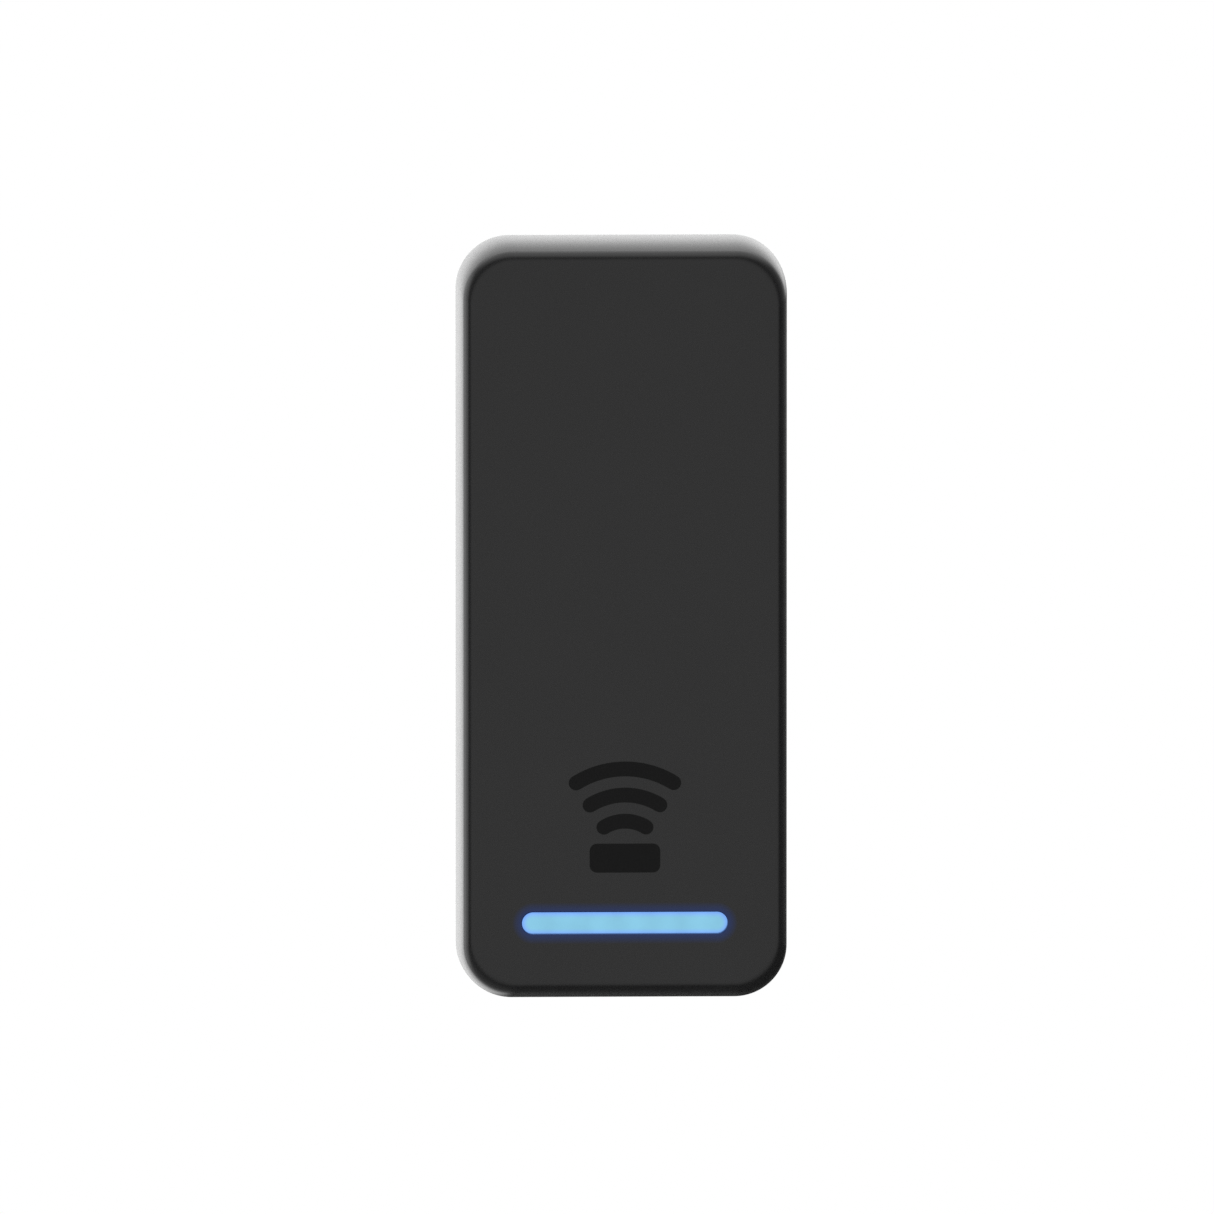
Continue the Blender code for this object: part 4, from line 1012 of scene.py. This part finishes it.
def make_spring():
    """A coil with a closed turn at each end, one end on the switch and the other at the plunger."""
    wire, radius, turns, steps = 0.18, 1.3, 6, 32
    low, high = grow(ranges("tamper_spring")[1], -wire)
    path, sideways = [], []
    for step in range(turns * steps + 1):
        turned = step / steps
        closed = 2 * wire * (min(turned, 1.0) + max(turned - turns + 1, 0.0))
        free = (high - low - 4 * wire) * min(max((turned - 1) / (turns - 2), 0.0), 1.0)
        out = Vector((math.cos(math.tau * turned), 0.0, math.sin(math.tau * turned)))
        path.append(Vector((TAMPER_AT[0], low + closed + free, TAMPER_AT[1])) + out * radius)
        sideways.append(out)
    shape = add_wire(bmesh.new(), path, sideways, wire)
    spring = make_piece("wound_spring", shape, "zinc", ["tamper_spring"], body=None)
    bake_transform(spring)


def make_switch(node, name, centre):
    """A tactile switch: a moulded body, a pressed cover plate with a round window, and its plunger."""
    x_range, (front, back), z_range = ranges(node)
    stem, plate_y = 0.9, back - 0.35
    shape = add_block(bmesh.new(), x_range, (front, plate_y), z_range, 0.4, 0.12)
    add_turned(shape, centre, [(stem, plate_y - 0.1), (stem, back - 0.1), (stem * 0.8, back)])
    for side in (-1, 1):
        foot = (middle(x_range) + side * (half_size(x_range) - 0.35), middle(z_range))
        add_cylinder(shape, foot, 0.22, (front - 0.15, front + 0.2))
    make_piece(name, shape, "epoxy", [node])
    outside = squarish((half_size(x_range) - 0.12, half_size(z_range) - 0.12))
    low, high = plate_y - 0.02, plate_y + 0.13
    section = [(outside, low), (outside, high), (stem + 0.35, high), (stem + 0.35, low)]
    make_piece(f"{name}_plate", add_turned(bmesh.new(), centre, section, hollow=True), "sheet_tin")


# Boards, antenna and jack


def make_board(node, name, half, corner, look, window=None):
    _, y_range, z_range = ranges(node)
    outline = rounded_rect(half, corner, (0.0, middle(z_range)), steps=10)
    board = make_piece(name, add_prism(bmesh.new(), outline, y_range), look, [node])
    through = grow(y_range, PAST)
    notches = bmesh.new()
    for centre in COVER_SCREWS:
        add_cylinder(notches, centre, 2.9, through)
    combine(board, "DIFFERENCE", notches)
    if window:
        holes = bmesh.new()
        for centre in BOARD_SCREWS:
            add_cylinder(holes, centre, 1.2, through)
        add_box(holes, span(0.0, window[0]), through, window[1])
        combine(board, "DIFFERENCE", holes)
    clean_faces(board, BOARD_LEVELS)
    soften(board, 0.08)


def make_boards():
    make_board("main_board", "controller_board", (23.5, 60.0), 5.0, "board", (9.9, (-37.4, 10.9)))
    make_board("antenna_board", "coil_board", (24.6, 39.5), 2.0, "plain_board")
    sheet = add_block(bmesh.new(), *ranges("ferrite_sheet"), 1.5, 0.05)
    make_piece("scored_sheet", sheet, "ferrite", ["ferrite_sheet"])
    make_header()


def make_header():
    """A pin strip on the main board and a socket strip on the coil's board."""
    x_range, (front, back), z_range = ranges("antenna_header")
    strips, pins = new_shapes(2)
    for y_range in ((front, front + 2.1), (back - 1.6, back)):
        add_block(strips, x_range, y_range, z_range, 0.2, 0.1)
    for number in range(4):
        pin_x = span(middle(x_range) + (number - 1.5) * 1.25, 0.2)
        add_block(pins, pin_x, (front + 0.6, back + 0.15), span(middle(z_range), 0.2), 0.06, 0.08)
    make_piece("header_strips", strips, "epoxy", ["antenna_header"])
    make_piece("header_pins", pins, "gold")


def make_jack():
    """The network jack, its mouth facing down, with a comb of bent wires inside."""
    _, y_range, z_range = ranges("network_jack")
    mouth, bottom = z_range[0], z_range[0] + 13.0
    front, back, latch = -14.1, -7.0, -4.9
    body, ears, socket, slots = new_shapes(4)
    add_block(body, span(0.0, 8.0), y_range, z_range, 0.5, 0.35)
    add_block(ears, span(0.0, 11.0), (-10.1, -9.5), (1.5, 6.5), 1.0, 0.1)
    corners = [(-5.95, front), (5.95, front), (5.95, back), (3.2, back), (3.2, latch), (-3.2, latch)]
    corners += [(-3.2, back), (-5.95, back)]
    rings = []
    for z, flare in ((mouth - 0.1, 1.075), (mouth + 0.7, 1.0), (bottom, 1.0)):
        centre_y = (front + back) / 2
        rings.append([(x * flare, centre_y + (y - centre_y) * flare, z) for x, y in corners])
    loft(socket, rings)
    for number in range(8):
        slot_x = span((number - 3.5) * JACK_PITCH, 0.33)
        add_box(slots, slot_x, (front - 0.6, front + 0.2), (mouth + 1.2, bottom - 2.0))
    jack = make_piece("jack_body", body, "jack", ["network_jack"])
    combine(jack, "UNION", ears)
    combine(jack, "DIFFERENCE", socket, slots)
    soften(jack, 0.08)
    make_contacts(front + 0.2, mouth, bottom)


def make_contacts(comb, mouth, bottom):
    wires, block = new_shapes(2)
    for number in range(8):
        x, sag = (number - 3.5) * JACK_PITCH, comb + 0.25
        points = [(x, sag, mouth + 1.6), (x, sag, mouth + 3.2), (x, comb + 2.0, mouth + 9.0)]
        points += [(x, sag + 0.1, mouth + 11.2), (x, sag + 0.1, bottom - 0.6)]
        path = round_path(points, 0.9, 5)
        add_wire(wires, path, [Vector((1.0, 0.0, 0.0))] * len(path), 0.2)
    make_piece("jack_wires", wires, "gold", ["jack_contacts"])
    add_block(block, span(0.0, 4.08), (comb, comb + 0.7), (bottom - 1.6, bottom - 0.2), 0.2, 0.12)
    make_piece("jack_comb", block, "jack")


# Parts on the main board


def add_legs(shape, x_range, z_range, side_axis, inset, top, leads):
    """Gull-wing leads on two sides of a package; leads are their count, pitch and width."""
    count, pitch, width = leads
    foot = BOARD_FRONT - 0.09
    out_range, row_range = (x_range, z_range) if side_axis == "X" else (z_range, x_range)
    for side in (-1, 1):
        edge = out_range[side > 0]
        start, knee = edge - side * (inset + 0.3), edge - side * inset * 0.55
        outline = strip_outline([(start, top), (knee, top), (knee, foot), (edge, foot)], 0.14, 0.1, 3)
        for number in range(count):
            ends = span(middle(row_range) + (number - (count - 1) / 2) * pitch, width / 2)
            rings = [[(out, y, end) for out, y in outline] for end in ends]
            if side_axis == "Z":
                rings = [[point[::-1] for point in points] for points in rings]
            loft(shape, rings)
    return shape


def make_chip(node, name, inset, sides, leads):
    """A moulded package with a dimple at its first lead, and gull-wing leads on two or four sides."""
    x_range, y_range, z_range = ranges(node)
    body_x = grow(x_range, -inset if "X" in sides else 0.0)
    body_z = grow(z_range, -inset if "Z" in sides else 0.0)
    top = y_range[0]
    body, dimple, legs = new_shapes(3)
    add_block(body, body_x, (top, y_range[1] - 0.08), body_z, 0.15, 0.12)
    add_turned(dimple, (body_x[0] + 0.9, body_z[1] - 0.9), [(0.42, top - 0.1), (0.3, top + 0.08)])
    for side_axis in sides:
        add_legs(legs, x_range, z_range, side_axis, inset, middle(y_range), leads)
    combine(make_piece(name, body, "epoxy", [node]), "DIFFERENCE", dimple)
    make_piece(f"{name}_leads", legs, "tin")


def make_shield():
    """A pressed can over the radio, open below, with rows of vent holes."""
    x_range, y_range, z_range = ranges("radio_shield")
    centre = (middle(x_range), middle(z_range))
    half = (half_size(x_range), half_size(z_range))
    top, foot, wall = y_range[0], BOARD_FRONT - 0.02, 0.2
    outside, inside = [], []
    for inset, drop in quarter_roll(0.35, 4)[::-1]:
        sides = shrink(half, inset)
        outside.append(at_y(rounded_rect(sides, 1.1 - inset, centre, 8), top + drop))
        sides = shrink(sides, wall)
        inside.append(at_y(rounded_rect(sides, 0.95 - inset, centre, 8), top + wall + drop * 0.6))
    outside.append(at_y(rounded_rect(half, 1.1, centre, 8), foot))
    inside.append(at_y(rounded_rect(shrink(half, wall), 0.95, centre, 8), foot))
    shell = loft(bmesh.new(), outside + inside[::-1])
    can = make_piece("radio_can", shell, "sheet_tin", ["radio_shield"])
    holes = bmesh.new()
    for column in range(6):
        for row in range(6):
            at = (centre[0] + (column - 2.5) * 2.6, centre[1] + (row - 2.5) * 2.8)
            add_cylinder(holes, at, 0.5, (top - PAST, top + wall + 0.05), segments=20)
    combine(can, "DIFFERENCE", holes)


def make_crystal():
    x_range, (top, foot), z_range = ranges("clock_crystal")
    seam = top + 0.3
    base = add_block(bmesh.new(), x_range, (seam, foot), z_range, 0.25, 0.05)
    make_piece("crystal_base", base, "ceramic", ["clock_crystal"])
    lid = add_block(bmesh.new(), grow(x_range, -0.18), (top, seam + 0.02), grow(z_range, -0.18), 0.3, 0.12)
    make_piece("crystal_lid", lid, "sheet_tin")


def make_transformer():
    """Two cores in a bobbin, taped round, with four pins on each side."""
    x_range, (top, foot), z_range = ranges("power_transformer")
    bobbin_top, seam = foot - 1.0, 0.06
    bobbin, core, tape, pins = new_shapes(4)
    add_block(bobbin, x_range, (bobbin_top, foot), grow(z_range, -0.9), 0.5, 0.15)
    make_piece("transformer_bobbin", bobbin, "epoxy", ["power_transformer"])
    for core_z in ((z_range[0] + 1.5, middle(z_range) - seam), (middle(z_range) + seam, z_range[1] - 1.5)):
        add_block(core, grow(x_range, -0.5), (top + 0.1, bobbin_top), core_z, 0.3, 0.2)
    make_piece("transformer_core", core, "core")
    add_block(tape, grow(x_range, -0.42), (top, bobbin_top - 0.5), span(middle(z_range), 1.9), 0.2, 0.25)
    make_piece("transformer_tape", tape, "tape")
    add_legs(pins, x_range, z_range, "Z", 1.0, middle((bobbin_top, foot)), (4, 2.3, 0.6))
    make_piece("transformer_pins", pins, "tin")


def make_capacitor(number):
    """An electrolytic capacitor: a moulded base, a can with a groove round it, and a printed mark."""
    x_range, (top, foot), z_range = ranges(f"capacitor_{number}")
    centre = (middle(x_range), middle(z_range))
    base = add_block(bmesh.new(), grow(x_range, -0.02), (foot - 0.7, foot), grow(z_range, -0.02), 0.7, 0.1)
    make_piece(f"capacitor_base_{number}", base, "epoxy")
    profile = [(1.9, top + 0.08), (2.0, top), (2.3, top), (2.45, top + 0.15), (2.45, foot - 1.9)]
    profile += [(2.32, foot - 1.75), (2.22, foot - 1.6), (2.32, foot - 1.45), (2.45, foot - 1.3)]
    profile += [(2.45, foot - 0.75), (2.3, foot - 0.6)]
    can = add_turned(bmesh.new(), centre, profile)
    make_piece(f"capacitor_can_{number}", can, "aluminium", [f"capacitor_{number}"])
    mark = add_prism(bmesh.new(), arc(centre, 1.88, -55, 55, 22), (top + 0.05, top + 0.09))
    make_piece(f"capacitor_mark_{number}", mark, "ink")


def make_buzzer():
    x_range, (top, foot), z_range = ranges("buzzer")
    profile = [(0.7, top + 0.9), (0.75, top + 0.25), (0.9, top + 0.12), (1.6, top + 0.1), (1.75, top)]
    profile += [(4.4, top), (4.7, top + 0.12), (4.8, top + 0.35), (4.8, top + 1.3), (4.65, top + 1.4)]
    profile += [(4.65, top + 1.6), (4.8, top + 1.7), (4.8, foot - 0.1), (4.7, foot)]
    drum = add_turned(bmesh.new(), (middle(x_range), middle(z_range)), profile, segments=64)
    make_piece("buzzer_drum", drum, "epoxy", ["buzzer"])


def make_chip_antenna():
    x_range, y_range, z_range = ranges("chip_antenna")
    (low, high), top, cap = x_range, y_range[0], 0.6
    body = add_block(bmesh.new(), *(grow(extent, -0.02) for extent in (x_range, y_range, z_range)), 0.1, 0.06)
    make_piece("antenna_block", body, "ceramic", ["chip_antenna"])
    track = bmesh.new()
    for end in ((low, low + cap), (high - cap, high)):
        add_block(track, end, y_range, z_range, 0.12, 0.08)
    for number in range(9):
        x = low + cap + (number + 0.5) * (high - low - 2 * cap) / 9
        add_box(track, span(x, 0.14), (top, top + 0.04), grow(z_range, -0.25))
    make_piece("antenna_track", track, "tin")


def add_chip(body, ends, centre, across):
    """A chip part 1 mm long: a small body between two tinned ends. across is its length's axis."""
    y_range = (BOARD_FRONT - 0.45, BOARD_FRONT - 0.02)
    parts = ((body, -0.32, 0.32, 0.24), (ends, -0.5, -0.3, 0.27), (ends, 0.3, 0.5, 0.27))
    for shape, low, high, half in parts:
        sides = [(low, high), span(0.0, half)]
        if across == "Z":
            sides.reverse()
        x_range, z_range = ((start + offset, end + offset) for (start, end), offset in zip(sides, centre))
        add_block(shape, x_range, y_range, z_range, 0.06, 0.04, steps=1, roll=1)


def make_passives():
    """Rows of chip resistors and capacitors beside the packages."""
    rows = [
        ("Z", -11.5, 23.5, 5), ("X", -9.0, 33.6, 5), ("X", 3.3, 21.8, 4), ("Z", 17.8, 25.4, 3),
        ("Z", -10.8, 12.9, 4), ("Z", 10.8, 12.9, 4), ("Z", -17.2, -26.2, 4), ("X", 14.9, -21.4, 3),
        ("Z", -11.4, 38.6, 8), ("Z", 11.4, 38.6, 8), ("X", 12.9, -14.4, 3),
    ]
    resistors, capacitors, ends = new_shapes(3)
    for number, (axis, x, z, count) in enumerate(rows):
        body = resistors if number % 2 else capacitors
        for place in range(count):
            offset = place * 1.9
            centre = (x + offset, z) if axis == "X" else (x, z + offset)
            add_chip(body, ends, centre, "Z" if axis == "X" else "X")
    make_piece("chip_resistors", resistors, "epoxy")
    make_piece("chip_capacitors", capacitors, "dielectric")
    make_piece("chip_ends", ends, "tin")


def make_components():
    make_chip("controller_chip", "controller_package", 0.8, "XZ", (14, 0.45, 0.2))
    make_chip("memory_chip", "memory_package", 0.8, "X", (4, 1.1, 0.4))
    make_chip("network_magnetics", "magnetics_package", 0.9, "Z", (12, 1.2, 0.45))
    make_shield()
    make_crystal()
    make_transformer()
    make_capacitor(1)
    make_capacitor(2)
    make_buzzer()
    make_chip_antenna()
    make_passives()


def make_lights():
    """The guide, with a hollow for each LED in its back, and the LEDs behind it."""
    x_range, y_range, z_range = ranges("light_guide")
    back = y_range[1]
    guide = add_block(bmesh.new(), x_range, y_range, z_range, 1.0, 0.25)
    guide = make_piece("frosted_guide", guide, "acrylic", ["light_guide"])
    hollows = bmesh.new()
    for number in range(1, 7):
        centre = make_led(number)
        add_turned(hollows, centre, [(1.35, back + 0.1), (1.15, back - 0.25), (0.6, back - 0.5)])
    combine(guide, "DIFFERENCE", hollows)


def make_led(number):
    """An LED with a lit dome in its dish; gives its centre."""
    x_range, y_range, z_range = ranges(f"status_led_{number}")
    centre, top = (middle(x_range), middle(z_range)), y_range[0]
    body, dish, dome = new_shapes(3)
    add_block(body, x_range, y_range, z_range, 0.3, 0.08)
    add_turned(dish, centre, [(1.15, top - 0.1), (1.1, top), (0.85, top + 0.35)])
    package = make_piece(f"led_package_{number}", body, "package", [f"status_led_{number}"])
    combine(package, "DIFFERENCE", dish)
    profile = [(0.82, 0.36), (0.86, 0.3), (0.98, 0.12), (0.8, 0.04), (0.4, 0.01)]
    add_turned(dome, centre, [(radius, top + d) for radius, d in profile])
    make_piece(f"led_phosphor_{number}", dome, "phosphor")
    return centre


def make_coil():
    """The antenna: five turns of etched track that wind inwards from the lower left, with round corners."""
    x_range, y_range, z_range = ranges("antenna_coil")
    width, pitch, turns, bend = 0.7, 1.4, 5, 2.6
    corners = []
    for turn in range(turns):
        w, h = (half_size(extent) - width / 2 - turn * pitch for extent in (x_range, z_range))
        start = -w if turn == 0 else -w - pitch
        corners += [(x, middle(z_range) + z) for x, z in ((start, -h), (w, -h), (w, h), (-w, h))]
    path = round_path(corners, bend, 8)
    rings = []
    for point, heading in zip(path, headings(path)):
        across = Vector((-heading.y, heading.x)) * width / 2
        sides = [point + offset for offset in (across, -across, -across, across)]
        rings.append([(side.x, y, side.y) for side, y in zip(sides, sorted(y_range * 2))])
    make_piece("etched_coil", loft(bmesh.new(), rings), "copper", ["antenna_coil"])
    pads = bmesh.new()
    low, high = grow(y_range, 0.02)
    for end in (path[0], path[-1]):
        add_turned(pads, end, [(0.25, low), (0.8, low), (0.8, high), (0.25, high)], hollow=True)
    make_piece("coil_pads", pads, "tin")


# Stage, light and camera


def make_floor():
    """A pale round floor well below the reader, which hangs on its wall."""
    profile = [(600.0, -270.0), (600.0, -262.0), (598.8, -260.0)]
    floor = new_object("floor", add_turned(bmesh.new(), (0.0, 0.0), profile, "Z", 96))
    material, tree, shader = start_material("pale_floor", (0.8, 0.8, 0.79), 0.7)
    grain = noise(tree, object_point(tree), 40, detail=4.0)
    drive(tree, shader, Base_Color=shades(tree, grain, (0.79, 0.79, 0.78), (0.83, 0.83, 0.82)))
    floor.data.materials.append(material)
    floor.visible_glossy = False


def make_world():
    """A white studio, brightest behind the reader's upper left, as its walls mirror it."""
    world = bpy.data.worlds.new("studio")
    world.use_nodes = True
    bpy.context.scene.world = world
    tree = world.node_tree
    tree.nodes.clear()
    parts = axes(tree, add_node(tree, "ShaderNodeTexCoord").outputs["Generated"])
    left = maths(tree, "MULTIPLY", parts["X"], -1.0)
    above = maths(tree, "ADD", parts["Z"], 0.06)
    lit_side = step_up(tree, maths(tree, "MAXIMUM", left, above), -0.03, 0.08)
    behind = step_up(tree, parts["Y"], -0.3, 0.3)
    backdrop = step_up(tree, parts["Y"], 0.93, 0.995)
    ahead = step_up(tree, maths(tree, "MULTIPLY", parts["Y"], -1.0), 0.78, 0.96)
    room = maths(tree, "MULTIPLY_ADD", behind, 0.65, 0.06)
    room = maths(tree, "MULTIPLY_ADD", step_up(tree, parts["Y"], -0.85, -0.35), 0.29, room)
    panel = maths(tree, "MULTIPLY", lit_side, maths(tree, "MULTIPLY_ADD", backdrop, 0.7, room))
    overhead = step_up(tree, parts["Z"], 0.55, 0.9)
    beside = maths(tree, "MULTIPLY", step_up(tree, left, 0.75, 0.92), 1.1)
    front = maths(tree, "MULTIPLY", ahead, 0.62)
    studio = maths(tree, "ADD", maths(tree, "MAXIMUM", panel, front), maths(tree, "ADD", overhead, beside))
    white = (1.0, 1.0, 1.0, 1.0)
    strengths = (maths(tree, "ADD", studio, 0.05), 1.0)
    lit, seen = (
        add_node(tree, "ShaderNodeBackground", {"Color": white, "Strength": strength}).outputs[0]
        for strength in strengths
    )
    camera_ray = add_node(tree, "ShaderNodeLightPath").outputs["Is Camera Ray"]
    mix = add_node(tree, "ShaderNodeMixShader", {0: camera_ray, 1: lit, 2: seen}).outputs[0]
    add_node(tree, "ShaderNodeOutputWorld", {"Surface": mix})


def make_camera():
    azimuth, elevation = math.radians(VIEW_AZIMUTH), math.radians(VIEW_ELEVATION)
    level = math.cos(elevation)
    back = Vector((math.sin(azimuth) * level, -math.cos(azimuth) * level, math.sin(elevation)))
    turn = (-back).to_track_quat("-Z", "Y")
    right, up = turn @ Vector((1, 0, 0)), turn @ Vector((0, 1, 0))
    aim = Vector((0.0, FACE_Y, 0.0)) - right * FACE_OFFSET[0] - up * FACE_OFFSET[1]
    data = bpy.data.cameras.new("camera")
    data.sensor_width = SENSOR
    data.lens = SENSOR * VIEW_DISTANCE / FRAME_WIDTH
    camera = bpy.data.objects.new("camera", data)
    camera.rotation_mode = "QUATERNION"
    camera.rotation_quaternion = turn
    camera.location = (aim + back * VIEW_DISTANCE) * MM
    bpy.context.scene.collection.objects.link(camera)
    bpy.context.scene.camera = camera


bpy.context.scene.view_settings.view_transform = "Standard"
LOOKS = make_looks()
STEPS = (
    make_camera, make_world, make_floor, make_cover, make_lens, make_sign, make_housing, make_seals,
    make_screws, make_lock, make_bracket, make_plungers, make_boards, make_jack, make_components,
    make_lights, make_coil,
)
for make in STEPS:
    make()
